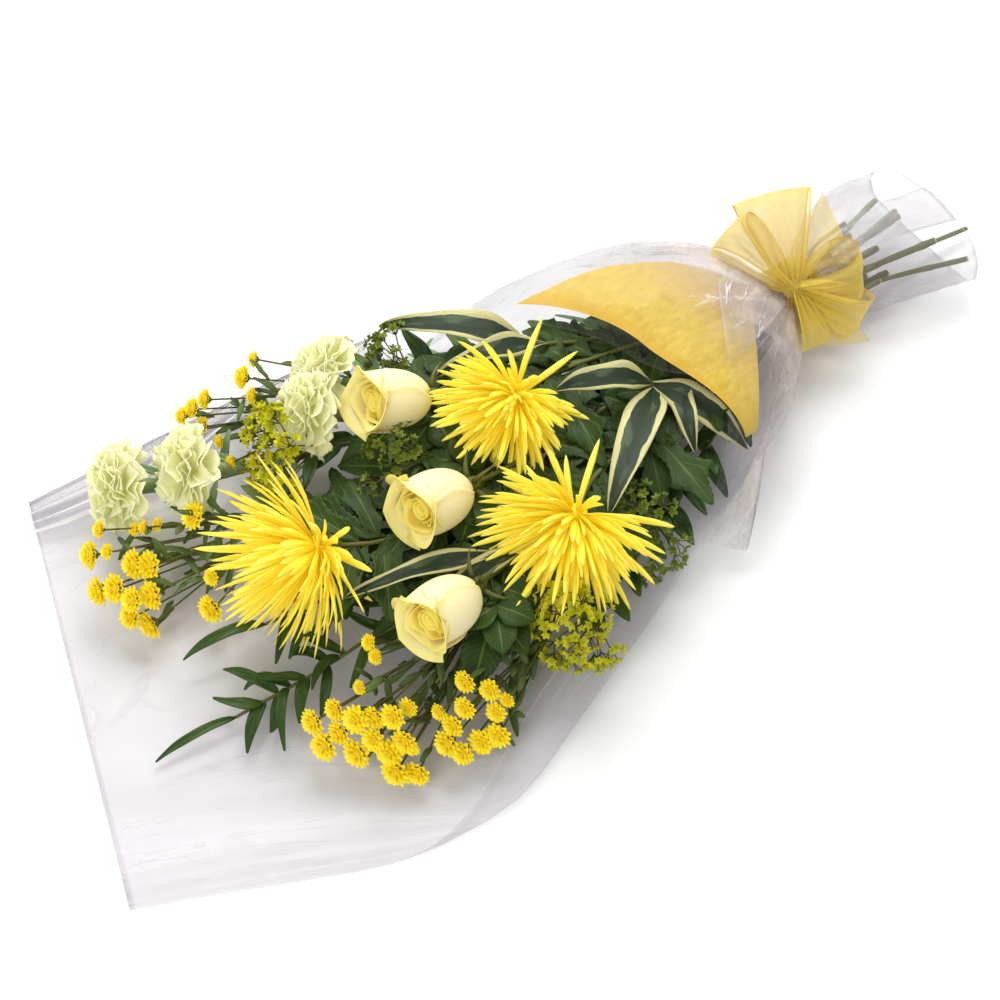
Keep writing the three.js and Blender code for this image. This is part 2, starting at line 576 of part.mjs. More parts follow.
// ---------------------------------------------------------------- wrapper, sleeve, tie and bow
// All the numbers of a section at any place s from 0 to 1 along the wrapper.
function section(s) {
  const scaled = clamp(s, 0, 1) * (SECTIONS.length - 1);
  const i = Math.min(Math.floor(scaled), SECTIONS.length - 2);
  const mix = (read) => lerp(read(SECTIONS[i]), read(SECTIONS[i + 1]), scaled - i);
  const pair = (key) => [mix((q) => q[key][0]), mix((q) => q[key][1])];
  const [low, round] = [mix((q) => q.low), mix((q) => q.round)];
  return { x: pair("x"), y: pair("y"), wall: pair("wall"), end: pair("end"), low, round };
}

// The point of a section at an angle, moved inwards by inset.
function onSection(q, angle, inset) {
  const power = (c) => Math.sign(c) * Math.abs(c) ** q.round;
  const farness = smoothstep(Math.sin(angle), -0.5, 0.5);
  const wall = lerp(q.wall[0], q.wall[1], farness) - 2 * inset;
  const middle = (q.y[0] + q.y[1]) / 2;
  const half = (q.y[1] - q.y[0]) / 2 - inset;
  const y = middle + half * power(Math.sin(angle));
  const z = q.low + inset + (wall * (1 - power(Math.cos(angle)))) / 2;
  return V(lerp(q.x[0], q.x[1], (y - q.y[0]) / (q.y[1] - q.y[0])), y, z);
}

// The wrapper's middle surface: u runs from its near edge under the sheaf to its far edge.
function filmPoint(u, v) {
  const q = section(v);
  const angle = degrees(lerp(-q.end[0], q.end[1], u));
  const wound = smoothstep(v, 0.3, 0.42);
  const p = onSection(q, angle, OVERLAP * (0.5 - (1 - u) * wound));
  p.z = Math.max(p.z - FLATTENED * (1 - smoothstep(v, 0.3, 0.5)), FLOOR);
  p.x += SCALLOP * smoothstep(v, 0.9, 1) * Math.cos(angle) ** 2;
  return p;
}

function wrapper(grow) {
  const corner = (u, v) => filmPoint(0.14, lerp(0.37, 0.54, u)).lerp(HANGING_CORNER, v * 0.96);
  return join([
    sheet(filmPoint, 12, SECTIONS.length - 1, FILM, grow),
    sheet(corner, 3, 2, FILM, grow),
  ]);
}

// The inner sleeve follows the wrapper just inside it, over the top of the stems. It is a corner of
// tissue: its slanting front edge runs from one point to another, and its back edge meets it there.
// Both edges run from one corner to the other, and bow inwards by a little.
const SLEEVE = {
  front: { from: 0.375, to: 0.44, bowed: 0.022, angle: [128, 256], inset: 10 },
  back: { from: 0.56, to: 0.452, bowed: -0.016, angle: [180, 258], inset: 6 },
};
function tissue(grow) {
  const edge = ({ from, to, bowed }, u) => lerp(from, to, u) + bowed * Math.sin(Math.PI * u);
  const surface = (u, v) => {
    const [front, back] = [edge(SLEEVE.front, u), edge(SLEEVE.back, u)];
    const angle = lerp(lerp(...SLEEVE.front.angle, u), lerp(...SLEEVE.back.angle, u), v * v);
    const inset = lerp(SLEEVE.front.inset, SLEEVE.back.inset, v);
    return onSection(section(lerp(front, back, v)), degrees(angle), inset);
  };
  return sheet(surface, 8, 6, TISSUE, grow);
}

function tie(grow) {
  const geometry = new THREE.TorusGeometry(TIE.radius, TIE.cord + grow, 4, 16);
  geometry.rotateY(Math.PI / 2);
  geometry.translate(NECK.x, NECK.y, NECK.z);
  return solid(geometry);
}

// The band of ribbon round the neck, gathered in the middle, with its two ends under the knot.
function ribbonBand(grow) {
  const surface = (u, v) => {
    const angle = degrees(lerp(-174, 174, u));
    const along = v * 2 - 1;
    const radius = BAND.radius + 1.6 * along * along;
    return V(along * BAND.half, radius * Math.sin(angle), -radius * Math.cos(angle)).add(NECK);
  };
  return sheet(surface, 16, 2, RIBBON, grow);
}

// A loop of ribbon that leaves the knot and comes back to it.
function loop({ end, width, depth, roll }, grow) {
  const out = end.clone().sub(KNOT);
  const [axis, turn] = [out.clone().normalize(), degrees(roll)];
  const aside = SHOWN.clone().cross(out).normalize().applyAxisAngle(axis, turn);
  const lift = out.clone().cross(aside).normalize();
  const surface = (u, v) => {
    const swell = Math.sin(Math.PI * v);
    const side = (u * 2 - 1) * (width / 2) * (0.12 + 0.88 * Math.abs(swell) ** 0.8);
    const height = 3 * Math.cos(Math.PI * v) + depth * Math.sin(2 * Math.PI * v);
    return KNOT.clone()
      .addScaledVector(out, swell)
      .addScaledVector(aside, -side)
      .addScaledVector(lift, height);
  };
  return sheet(surface, 1, 6, RIBBON, grow);
}

// A loose end of the ribbon, cut at a slant.
function tail({ end, width }, grow) {
  const out = end.clone().sub(KNOT);
  const aside = SHOWN.clone().cross(out).normalize();
  const surface = (u, v) =>
    KNOT.clone()
      .addScaledVector(out, v * (1 - 0.3 * u))
      .addScaledVector(aside, (0.5 - u) * width * lerp(0.35, 1, v))
      .addScaledVector(UP, 7 * Math.sin(Math.PI * v));
  return sheet(surface, 1, 3, RIBBON, grow);
}

function ribbonBow(grow) {
  const knot = ball(KNOT, 9.5 + grow, UP, 0.85);
  return join([knot, ...LOOPS.map((row) => loop(row, grow)), ...TAILS.map((row) => tail(row, grow))]);
}

// ---------------------------------------------------------------- putting the sheaf together
const COLOURS = {
  wrapper: { color: 0xe4e0e6, roughness: 0.12, transparent: true, opacity: 0.35 },
  tissue: { color: 0xf0c63c, roughness: 0.7 },
  tie: { color: 0xc9a26a, roughness: 0.8 },
  ribbon: { color: 0xf4cd3a, roughness: 0.5 },
  mum_bloom: { color: 0xfbd91c, roughness: 0.6 },
  rose_bloom: { color: 0xf7efb8, roughness: 0.6 },
  carnation_bloom: { color: 0xe6edbb, roughness: 0.7 },
  mum: { color: 0x4f6f35, roughness: 0.7 },
  rose: { color: 0x587a38, roughness: 0.5 },
  carnation: { color: 0x7f9c66, roughness: 0.7 },
  buttons: { color: 0xeec81a, roughness: 0.7 },
  thorow_wax: { color: 0xa9b53a, roughness: 0.6 },
  ruscus: { color: 0x3f6b2c, roughness: 0.35 },
  dracaena: { color: 0x3c6136, roughness: 0.4 },
};

const sheaf = new THREE.Group();
const taken = []; // grown copies of the pieces that later ones keep clear of

function claim(owner, grown) {
  taken.push({ owner, grown, box: grown.boundingBox() });
}

// A piece without what it shares with the pieces of other owners.
function clearOf(owner, piece) {
  const box = piece.boundingBox();
  const meets = (other) => [0, 1, 2].every((k) => box.min[k] < other.max[k] && other.min[k] < box.max[k]);
  return taken
    .filter((other) => other.owner !== owner && meets(other.box))
    .reduce((rest, other) => rest.subtract(other.grown), piece);
}

function addMesh(name, made) {
  const { vertProperties, triVerts } = biggest(made).getMesh();
  const geometry = new THREE.BufferGeometry()
    .setAttribute("position", new THREE.BufferAttribute(vertProperties, 3))
    .setIndex(new THREE.BufferAttribute(triVerts, 1));
  geometry.translate(-ORIGIN.x, -ORIGIN.y, -ORIGIN.z);
  geometry.computeVertexNormals();
  const kind = Object.keys(COLOURS).find((key) => name.replace(/_\d+/, "").startsWith(key));
  const mesh = new THREE.Mesh(geometry, new THREE.MeshStandardMaterial(COLOURS[kind]));
  mesh.name = name;
  sheaf.add(mesh);
}

const WRAPPINGS = { wrapper, tissue, tie, ribbon_band: ribbonBand, ribbon_bow: ribbonBow };
for (const [name, build] of Object.entries(WRAPPINGS)) {
  addMesh(name, clearOf(name, build(0)));
  claim(name, build(GAP));
}

const shafts = {};
for (const name of Object.keys(STEMS)) {
  shafts[name] = biggest(clearOf(name, stemSolid(name)));
  claim(name, stemSolid(name, GAP));
}

const BLOOMS = { mum: mumBloom, rose: roseBloom, carnation: carnationBloom };
Object.keys(STEMS).forEach((name, index) => {
  const build = BLOOMS[kindOf(name)];
  if (!build) return;
  addMesh(`${name}_bloom`, clearOf(`${name}_bloom`, build(STEMS[name], index, 0, name)));
  claim(`${name}_bloom`, build(STEMS[name], index, GAP, name));
});

const SPRAYS = { buttons: buttonHeads, thorow_wax: thorowWax, ruscus: ruscusLeaves };
const carried = (name, index, grow) => {
  const build = SPRAYS[kindOf(name)];
  return build ? build(name, index, grow) : leavesOf(name, grow);
};
const hasLeaves = (name) => LEAVES.some(([owner]) => owner === name);
const bySprays = Object.keys(STEMS).sort((a, b) => hasLeaves(a) - hasLeaves(b));
bySprays.forEach((name, index) => {
  const parts = carried(name, index, 0).map((part) => clearOf(name, part));
  addMesh(name, join([shafts[name], ...parts]));
  if (parts.length) claim(name, join(carried(name, index, GAP)));
});

export default sheaf;
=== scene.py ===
# %% [markdown]
# # A florist's sheaf of yellow and cream flowers
# The sheaf lies on its back in a clear wrapper: spider chrysanthemums, half-open roses, carnations,
# button chrysanthemums, thorow-wax, soft ruscus and striped leaves, tied at the neck with a sheer
# yellow bow. The CAD model fixes the place and the size of every stem, bloom and sheet. This script
# keeps the same layout and grows finer pieces in it, one recipe for each kind of plant.

# %% Tools and the fixed frame
import functools
import math
import random

import bmesh
import bpy
import numpy as np
from mathutils import Matrix, Vector, noise


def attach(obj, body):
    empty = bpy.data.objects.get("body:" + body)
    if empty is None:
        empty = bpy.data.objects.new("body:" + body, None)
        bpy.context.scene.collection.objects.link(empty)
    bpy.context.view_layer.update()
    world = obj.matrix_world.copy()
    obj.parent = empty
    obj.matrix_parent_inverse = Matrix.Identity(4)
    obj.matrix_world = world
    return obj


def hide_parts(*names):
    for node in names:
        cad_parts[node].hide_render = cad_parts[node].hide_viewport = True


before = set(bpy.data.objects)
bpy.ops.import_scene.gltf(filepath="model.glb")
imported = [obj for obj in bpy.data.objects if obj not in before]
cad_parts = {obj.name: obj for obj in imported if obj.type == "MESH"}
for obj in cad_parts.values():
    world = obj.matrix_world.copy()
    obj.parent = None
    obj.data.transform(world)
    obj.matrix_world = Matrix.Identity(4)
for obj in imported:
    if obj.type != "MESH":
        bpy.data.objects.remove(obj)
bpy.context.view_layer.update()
print(len(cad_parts), "nodes in the frame")

# %% [markdown]
# The layout is in millimetres, as a florist would measure it, with the middle of the footprint at
# ORIGIN. A finished piece is moved to the frame and shrunk to metres in one step, so every object
# sits at the origin, with its place in its mesh.

# %% Scale and small helpers
V = Vector
ORIGIN = V((40.8, 8.24, 0))
TO_FRAME = Matrix.Scale(0.001, 4) @ Matrix.Translation(-ORIGIN)
UP = V((0, 0, 1))
GOLDEN_ANGLE = math.pi * (3 - math.sqrt(5))
FULL_TURN = 2 * math.pi


def mix(low, high, share):
    """The number, or point, at a share of the way from low to high."""
    return low + (high - low) * share


def ease(x, low, high):
    """A soft step from 0 at low to 1 at high."""
    t = min(max((x - low) / (high - low), 0), 1)
    return t * t * (3 - 2 * t)


def sides_of(direction):
    """Two unit vectors square to a direction and to each other."""
    along = direction.normalized()
    helper = V((1, 0, 0)) if abs(along.z) > 0.9 else UP
    across = helper.cross(along).normalized()
    return across, along.cross(across)


def leaning(axis, tilt, turn):
    """A direction that leans away from an axis by tilt, at the angle turn round it."""
    across, over = sides_of(axis)
    sideways = across * math.cos(turn) + over * math.sin(turn)
    return axis * math.cos(tilt) + sideways * math.sin(tilt)


def bend(start, middle, end):
    """A soft bend from start to end, drawn towards middle, as a function of 0 to 1."""
    return lambda t: start * (1 - t) ** 2 + middle * 2 * t * (1 - t) + end * t * t


def heading(line, t):
    """Which way a line runs at t."""
    return (line(min(t + 0.01, 1)) - line(max(t - 0.01, 0))).normalized()


# %% [markdown]
# Petals, leaves and film are all thin sheets. Each starts as one bmesh grid, whose corners are then
# moved onto a surface: u runs across and v along. The grid brings its UV map with it, so a leaf's
# stripes or a petal's blush can follow its shape. A number called tint is kept on every corner, and
# lets one material give each petal its own shade.

# %% Sheets
def blank():
    """An empty bmesh that keeps a UV map and a tint."""
    bm = bmesh.new()
    bm.verts.layers.float.new("tint")
    bm.loops.layers.uv.new("UVMap")
    return bm


def sheet(bm, across, along, place, tint=0.5):
    """A grid laid onto the surface that place(u, v) gives."""
    grid = bmesh.ops.create_grid(bm, x_segments=across, y_segments=along, size=0.5, calc_uvs=True)
    layer = bm.verts.layers.float["tint"]
    for vert in grid["verts"]:
        vert.co = place(vert.co.x + 0.5, vert.co.y + 0.5)
        vert[layer] = tint
    return grid["verts"]


# %% [markdown]
# A stem or a quilled petal is a grid rolled up. Each row of the grid becomes a ring round the line,
# the seam is welded, and a first and last ring of no radius close the ends. The rings are carried
# along without twisting, so the ribs of a petal run straight along it.

# %% Rods
def rod(bm, line, rings, sides, tint=0.5, across=None, flat=1):
    """A closed rod round a line. Each ring is a place from 0 to 1 along it, and a radius."""
    across = across or sides_of(heading(line, rings[0][0]))[0]
    steps = []
    for t, radius in rings:
        along = heading(line, t)
        across = (across - along * across.dot(along)).normalized()
        steps.append((line(t), across, along.cross(across), radius))

    def place(u, v):
        middle, left, over, radius = steps[round(v * (len(rings) - 1))]
        turn = FULL_TURN * u
        return middle + (left * math.cos(turn) + over * math.sin(turn) * flat) * radius

    verts = sheet(bm, sides, len(rings) - 1, place, tint)
    bmesh.ops.remove_doubles(bm, verts=verts, dist=0.001)


def capped(radii, ends=(0, 1)):
    """Radii spread evenly between two places on a line, closed at both ends."""
    places = np.linspace(*ends, len(radii))
    return [(ends[0], 0), *zip(places, radii), (ends[1], 0)]


def stamp(bm, template, matrix, tint=0.5):
    """A copy of a small finished shape, moved by a matrix."""
    before = len(bm.verts)
    bm.from_mesh(template)
    bm.verts.ensure_lookup_table()
    fresh = bm.verts[before:]
    bmesh.ops.transform(bm, matrix=matrix, verts=fresh)
    layer = bm.verts.layers.float["tint"]
    for vert in fresh:
        vert[layer] = tint


def template_of(bm, name):
    """Keeps a shape as a mesh that can be stamped many times."""
    mesh = bpy.data.meshes.new(name)
    bm.to_mesh(mesh)
    bm.free()
    return mesh


def standing(point, axis, size, turn=0):
    """The matrix that stands a shape on a point, with its own z along an axis."""
    rotation = axis.to_track_quat("Z", "Y").to_matrix().to_4x4()
    return Matrix.Translation(point) @ rotation @ Matrix.Rotation(turn, 4, "Z") @ Matrix.Scale(size, 4)


# %% [markdown]
# Every finished piece rides on the one body that the sheaf has, and hides the CAD nodes that it
# stands for.

# %% Finished pieces
def piece(name, bm, finish, slot, *nodes):
    """Turns a bmesh in millimetres into a piece of the sheaf."""
    bmesh.ops.transform(bm, matrix=TO_FRAME, verts=bm.verts)
    made = bpy.data.objects.new(name, template_of(bm, name))
    made.data.materials.append(finish)
    made.data.shade_smooth()
    bpy.context.collection.objects.link(made)
    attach(made, "root")
    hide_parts(*nodes)
    return made


def thicken(made, thickness):
    """Gives a sheet its real thickness, in millimetres, to both sides."""
    wall = made.modifiers.new("thickness", "SOLIDIFY")
    wall.thickness = thickness / 1000
    wall.offset = 0


# %% [markdown]
# Shader maths is easier to read as sums than as wires. A Socket stands for one output of a node,
# and +, - and * on it each add a Math node. A Finish is one material, and its node() makes any other
# node from its type, its settings and its inputs.

# %% Shader maths
def tone(red, green, blue):
    """A display colour from 0 to 255 as the linear colour that shaders take."""
    shares = [c / 255 for c in (red, green, blue)]
    return (*[c / 12.92 if c < 0.0392 else ((c + 0.055) / 1.055) ** 2.4 for c in shares], 1)


class Socket:
    """One output of a shader node, which sums can be written with."""

    def __init__(self, finish, output):
        self.finish, self.output = finish, output

    def maths(self, operation, *values):
        return self.finish.node("Math", {"operation": operation}, dict(enumerate(values)))

    def __add__(self, other):
        return self.maths("ADD", self, other)

    def __sub__(self, other):
        return self.maths("SUBTRACT", self, other)

    def __rsub__(self, other):
        return self.maths("SUBTRACT", other, self)

    def __mul__(self, other):
        return self.maths("MULTIPLY", self, other)

    def __abs__(self):
        return self.maths("ABSOLUTE", self)

    def sine(self):
        return self.maths("SINE", self)

    def step(self, low, high):
        """0 below low, 1 above high and soft between them."""
        ends = {"From Min": low, "From Max": high}
        return self.finish.node("MapRange", {"interpolation_type": "SMOOTHSTEP"}, {"Value": self, **ends})

    __radd__, __rmul__ = __add__, __mul__


class Finish:
    """A material, made by writing down its parts."""

    def __init__(self, name, **numbers):
        self.material = bpy.data.materials.new(name)
        self.material.use_nodes = True
        self.tree = self.material.node_tree
        self.surface = self.tree.nodes["Principled BSDF"]
        self.feed(self.surface, {key.replace("_", " "): value for key, value in numbers.items()})

    def feed(self, node, inputs):
        for key, value in inputs.items():
            if isinstance(value, Socket):
                self.tree.links.new(value.output, node.inputs[key])
            else:
                node.inputs[key].default_value = value

    def node(self, kind, settings=None, inputs=None, output=0):
        """Any node: its settings come first, then the values or links of its sockets."""
        made = self.tree.nodes.new("ShaderNode" + kind)
        for key, value in (settings or {}).items():
            setattr(made, key, value)
        self.feed(made, inputs or {})
        return Socket(self, made.outputs[output])

    def blend(self, share, a, b):
        """One colour turning into another."""
        return self.node("Mix", {"data_type": "RGBA"}, {0: share, 6: a, 7: b}, 2)

    def where(self):
        """The place on the object, in metres."""
        return self.node("TexCoord", output="Object")

    def across_and_along(self):
        """How far across and how far along its sheet a place is, from 0 to 1."""
        uv = self.node("UVMap", {"uv_map": "UVMap"})
        split = self.node("SeparateXYZ", inputs={"Vector": uv})
        return split, Socket(self, split.output.node.outputs["Y"])

    def tint(self):
        """The number that the sheet or rod was grown with."""
        return self.node("Attribute", {"attribute_name": "tint"}, output="Fac")

    def cloudy(self, scale, detail=3, stretch=(1, 1, 1)):
        """Soft noise from 0 to 1. scale is in patches for each metre."""
        place = self.node("Mapping", inputs={"Vector": self.where(), "Scale": stretch})
        return self.node("TexNoise", inputs={"Vector": place, "Scale": scale, "Detail": detail})

    def bumpy(self, height, depth):
        """A bump of that depth in millimetres."""
        normal = self.node("Bump", inputs={"Height": height, "Distance": depth / 1000, "Strength": 1})
        self.feed(self.surface, {"Normal": normal})

    def paint(self, **inputs):
        self.feed(self.surface, {key.replace("_", " "): value for key, value in inputs.items()})
        return self.material


# %% [markdown]
# Chrysanthemum florets are golden where they are packed in the middle of the bloom, and lemon where
# they reach out. Each has fine lengthwise ribs and a slightly paler tip. A rose petal is greener at
# its foot, yellower at its lip, and has painted shade along the side that is tucked under the next
# one and in a band just inside its free edge. Light passes into a petal a little, so it has some
# subsurface scattering. Petals also have a faint emission of their own colour, a painted glow.

# %% Petal finishes
def mum_petals():
    finish = Finish("spider_mum_petals", Roughness=0.55, Subsurface_Weight=0.1, Subsurface_Scale=0.002)
    across, along = finish.across_and_along()
    reach = (finish.tint() * 0.2 + along * 0.8 + finish.cloudy(160) * 0.4 - 0.25).step(0.0, 1.0)
    lemon = finish.blend(reach, tone(255, 229, 20), tone(252, 240, 106))
    colour = finish.blend((1 - along.step(0.1, 0.5)) * 0.6, lemon, tone(242, 208, 14))
    ribs = (across * FULL_TURN * 6).sine()
    finish.bumpy(ribs, 0.1)
    # The emission of the florets' own colour is a painted glow that brightens them.
    return finish.paint(Base_Color=colour, Emission_Color=colour, Emission_Strength=0.14)


def rose_petals():
    finish = Finish("rose_petals", Roughness=0.6, Subsurface_Weight=0.1, Subsurface_Scale=0.002)
    across, along = finish.across_and_along()
    outer = finish.tint()
    lip = along.step(0.62, 0.95)
    green = (1 - along.step(0.0, 0.22)) * 0.5
    cream = finish.blend(outer.step(0.3, 1.0), tone(250, 228, 84), tone(246, 233, 180))
    lipped = finish.blend(lip * 0.75, cream, tone(252, 238, 122))
    # Painted shade along the side tucked under the next petal, and in a band just inside the free edge.
    painted_edge_shade = across.step(0.86, 0.95) * (1 - across.step(0.95, 0.99))
    painted_tuck_shade = (1 - across.step(0.0, 0.3)) * 0.45 + painted_edge_shade * 0.4
    shaded = finish.blend(painted_tuck_shade, lipped, tone(226, 207, 100))
    colour = finish.blend(green, shaded, tone(212, 216, 128))
    veins = finish.cloudy(180, 3) + (across * 90).sine() * 0.1
    finish.bumpy(veins, 0.15)
    # The faint emission of the petal's own colour is a painted glow.
    return finish.paint(Base_Color=colour, Emission_Color=colour, Emission_Strength=0.05)


def carnation_petals():
    finish = Finish("carnation_petals", Roughness=0.65, Subsurface_Weight=0.15, Subsurface_Scale=0.002)
    across, along = finish.across_and_along()
    heart = 1 - along.step(0.1, 0.8)
    shade = finish.blend(finish.cloudy(70), tone(242, 241, 208), tone(228, 229, 168))
    colour = finish.blend(heart * 0.65, shade, tone(228, 229, 148))
    finish.bumpy((across * 70).sine(), 0.08)
    # The emission of the petals' own colour is a painted glow.
    return finish.paint(Base_Color=colour, Emission_Color=colour, Emission_Strength=0.1)


def button_petals():
    finish = Finish("button_petals", Roughness=0.6)
    _, along = finish.across_and_along()
    colour = finish.blend(finish.cloudy(220), tone(248, 226, 12), tone(255, 242, 66))
    finish.bumpy(finish.cloudy(900, 2), 0.3)
    # Painted shade: each ray darkens towards its root, in among the others. The emission is a painted glow.
    shaded = finish.blend(along.step(0.0, 0.9), tone(226, 196, 6), colour)
    return finish.paint(Base_Color=shaded, Emission_Color=shaded, Emission_Strength=0.14)


# %% [markdown]
# Leaves differ in gloss more than in anything else: ruscus is waxy, chrysanthemum leaves are matt.
# All have a paler midrib, side veins and an uneven green. The striped leaves have a cream edge whose
# inner border wavers along the leaf.

# %% Leaf finishes
def leaf_finish(name, dark, light, rib, gloss, veins=9, glow=0):
    finish = Finish(name, Roughness=gloss, Specular_IOR_Level=0.22)
    across, along = finish.across_and_along()
    side = abs(across - 0.5)
    green = finish.blend(finish.cloudy(60, 4) * 0.7 + finish.tint() * 0.4, dark, light)
    midrib = 1 - side.step(0.012, 0.05)
    slant = ((along - side * 0.6) * FULL_TURN * veins).sine()
    ridges = slant.step(0.7, 1.0) * side.step(0.02, 0.1)
    colour = finish.blend(midrib * 0.55 + ridges * 0.22, green, rib)
    finish.bumpy(midrib * 0.8 + ridges * 0.5 + finish.cloudy(500) * 0.3, 0.35)
    # glow is an emission of the leaf's own colour: a painted glow.
    return finish.paint(Base_Color=colour, Emission_Color=colour, Emission_Strength=glow)


def striped_leaf():
    finish = Finish("striped_leaf", Roughness=0.36, Specular_IOR_Level=0.4)
    across, _ = finish.across_and_along()
    side = abs(across - 0.48) + (finish.cloudy(45) - 0.5) * 0.22
    cream = side.step(0.325, 0.35)
    streaks = finish.node("TexNoise", inputs={"Vector": finish.node("UVMap"), "Scale": 3, "Detail": 5})
    lines = (across * 150 + streaks * 9).sine()
    grey = (streaks.step(0.5, 0.62) * 0.7 + lines * 0.3).step(0.0, 1.0)
    green = finish.blend(grey, tone(34, 50, 32), tone(84, 102, 70))
    pale = finish.blend(finish.cloudy(90), tone(224, 218, 160), tone(196, 192, 124))
    finish.bumpy(lines, 0.12)
    return finish.paint(Base_Color=finish.blend(cream, green, pale))


def stem_green(name, dark, light, scar):
    finish = Finish(name, Roughness=0.5)
    streaks = finish.cloudy(50, 5, (0.25, 1, 1))
    colour = finish.blend(streaks, dark, light)
    woody = finish.blend(finish.cloudy(35).step(0.5, 0.75) * 0.5, colour, scar)
    finish.bumpy(streaks + finish.cloudy(700) * 0.2, 0.3)
    return finish.paint(Base_Color=finish.blend(finish.tint().step(0.85, 0.95), woody, tone(206, 204, 150)))


# %% [markdown]
# Clear film is nearly nothing but its highlights. It has a faint grey tone, a low alpha and a sharp
# gloss. Its grey is painted darker in the hollows of its broad folds, and it grows more opaque where it
# turns away from the eye, a painted reflection. Its near wall is painted paler, a painted light. Its
# long creases follow a stretched noise, and white highlights are painted along them. Where it is
# crushed, at the neck and in the loose corner, it is a tan grey, partly the layered film and what lies
# behind it and partly painted shade, and a pattern of cells breaks it into facets, each painted its own
# shade. The foot is painted a darker grey, for film doubled over the stems and for painted shade. Its
# rolled edges carry painted highlights in bands, and are more opaque between them. The sleeve is a web
# of long fibres, and the ribbon is organza, which looks denser where it turns away from the eye.

# %% Film and cloth finishes
def clear_film():
    finish = Finish("clear_film", Roughness=0.16, IOR=1.5)
    across, along = finish.across_and_along()
    grain = finish.node("CombineXYZ", inputs={"X": across * 34, "Y": along * 6})
    streaks = finish.node("TexNoise", inputs={"Vector": grain, "Scale": 1, "Detail": 4, "Distortion": 0.4})
    wide = finish.node("CombineXYZ", inputs={"X": across * 7, "Y": along * 3})
    folds = finish.node("TexNoise", inputs={"Vector": wide, "Scale": 1, "Detail": 1, "Distortion": 1})
    neck = along.step(0.42, 0.56) * (1 - along.step(0.8, 0.9))
    foot = along.step(0.8, 0.88)
    crumpled = neck * 0.8 + 0.2
    broken = finish.cloudy(26, 2).step(0.4, 0.56)
    # Thin crease lines: they take a bump, and a painted white highlight further down.
    crease_and_highlight = (1 - abs(streaks - 0.5).step(0.0, 0.012)) * crumpled * broken
    rolled_far = across.step(0.72, 0.76) * (1 - along.step(0.3, 0.4))
    rolled = rolled_far + (1 - across.step(0.06, 0.14)) * along.step(0.2, 0.3)
    ridges = (across * 150 + folds * 6).sine().step(0.2, 1.0)
    open_end = 1 - along.step(0.42, 0.5)
    # The ridges of the rolled edges: they take a bump, and painted white highlights further down.
    band_ridges_and_highlights = rolled * ridges * open_end
    finish.bumpy(streaks * crumpled * 1.2 + folds * 1.6 + band_ridges_and_highlights * 0.5 + crease_and_highlight * 0.4, 2.2)
    # glaze makes the film more opaque where it turns away from the eye: a painted reflection.
    glaze = finish.node("LayerWeight", inputs={"Blend": 0.4}, output="Facing")
    between = rolled * (1 - ridges) * open_end
    on_top = abs(across - 0.47).step(0.28, 0.35) * along.step(0.26, 0.3) * (1 - along.step(0.44, 0.54))
    sides = 1 - across.step(0.0, 0.008) + across.step(0.992, 1.0)
    rim = sides + (1 - along.step(0.0, 0.006)) + along.step(0.992, 1.0)
    loose_corner = finish.tint()
    crushed = (neck + loose_corner).step(0.0, 1.0)
    # Each Voronoi cell is a facet of crumpled film with its own painted shade.
    facets = finish.node("TexVoronoi", inputs={"Vector": finish.where(), "Scale": 120}, output="Color")
    # The near wall, whose grey is painted paler and made more transparent below: a painted light.
    wall = (1 - across.step(0.12, 0.24)) * along.step(0.12, 0.2) * (1 - neck)
    veil = 0.24 - wall * 0.15 + crushed * 0.16 + foot * 0.03 + (facets - 0.5) * (crushed + foot * 0.3) * 0.16
    # Alpha for the painted highlights along creases and rolled bands, the more opaque grooves between the
    # bands, and the sheet's rim.
    lines = crease_and_highlight * 0.5 + band_ridges_and_highlights * 0.3 + between * 0.16 + rim * 0.3
    alpha = (veil + glaze * 0.3 + lines + (folds - 0.5) * 0.16) * (1 - on_top * 0.88)
    # Painted shade: the grey is darker in the hollows of the broad folds and paler on their crests.
    fold_shaded_lilac = finish.blend(folds.step(0.3, 0.7), tone(166, 158, 170), tone(204, 198, 208))
    # Painted light: the near wall's grey is paler.
    grey = finish.blend(wall * 0.6, fold_shaded_lilac, tone(228, 224, 230))
    # Crushed film: a tan grey, partly the layered film and what lies behind it and partly painted shade,
    # varied facet by facet.
    crumpled_tan_and_shade = finish.blend(crushed, grey, finish.blend(facets, tone(198, 184, 178), tone(222, 210, 204)))
    # The foot: a darker grey, for film doubled over the stems and for painted shade, varied facet by facet.
    foot_grey_and_shade = finish.blend(foot, crumpled_tan_and_shade, finish.blend(facets, tone(170, 164, 168), tone(194, 188, 192)))
    # Painted highlight: white lines along the creases and on the ridges of the rolled bands.
    painted_highlight = (crease_and_highlight + band_ridges_and_highlights * 0.8).step(0.0, 1.0)
    return finish.paint(Base_Color=finish.blend(painted_highlight, foot_grey_and_shade, tone(252, 250, 252)), Alpha=alpha)


def tissue_cloth():
    """The sleeve: a web of long fibres with a doubled hem along its front edge."""
    finish = Finish("sleeve_cloth", Roughness=0.7, Sheen_Weight=0.2, Sheen_Roughness=0.5)
    _, along = finish.across_and_along()
    hem = 1 - along.step(0.1, 0.12)
    flecks = finish.cloudy(110, 6, (1, 2, 1)) * 0.6 + finish.cloudy(420, 4, (3, 1, 1)) * 0.4
    web = flecks.step(0.28, 0.72)
    colour = finish.blend(web, tone(201, 166, 42), tone(217, 185, 66))
    finish.bumpy(flecks, 0.12)
    doubled = finish.blend(hem * 0.7, colour, tone(208, 164, 24))
    return finish.paint(Base_Color=doubled, Alpha=0.9 + web * 0.08 + hem * 0.02)


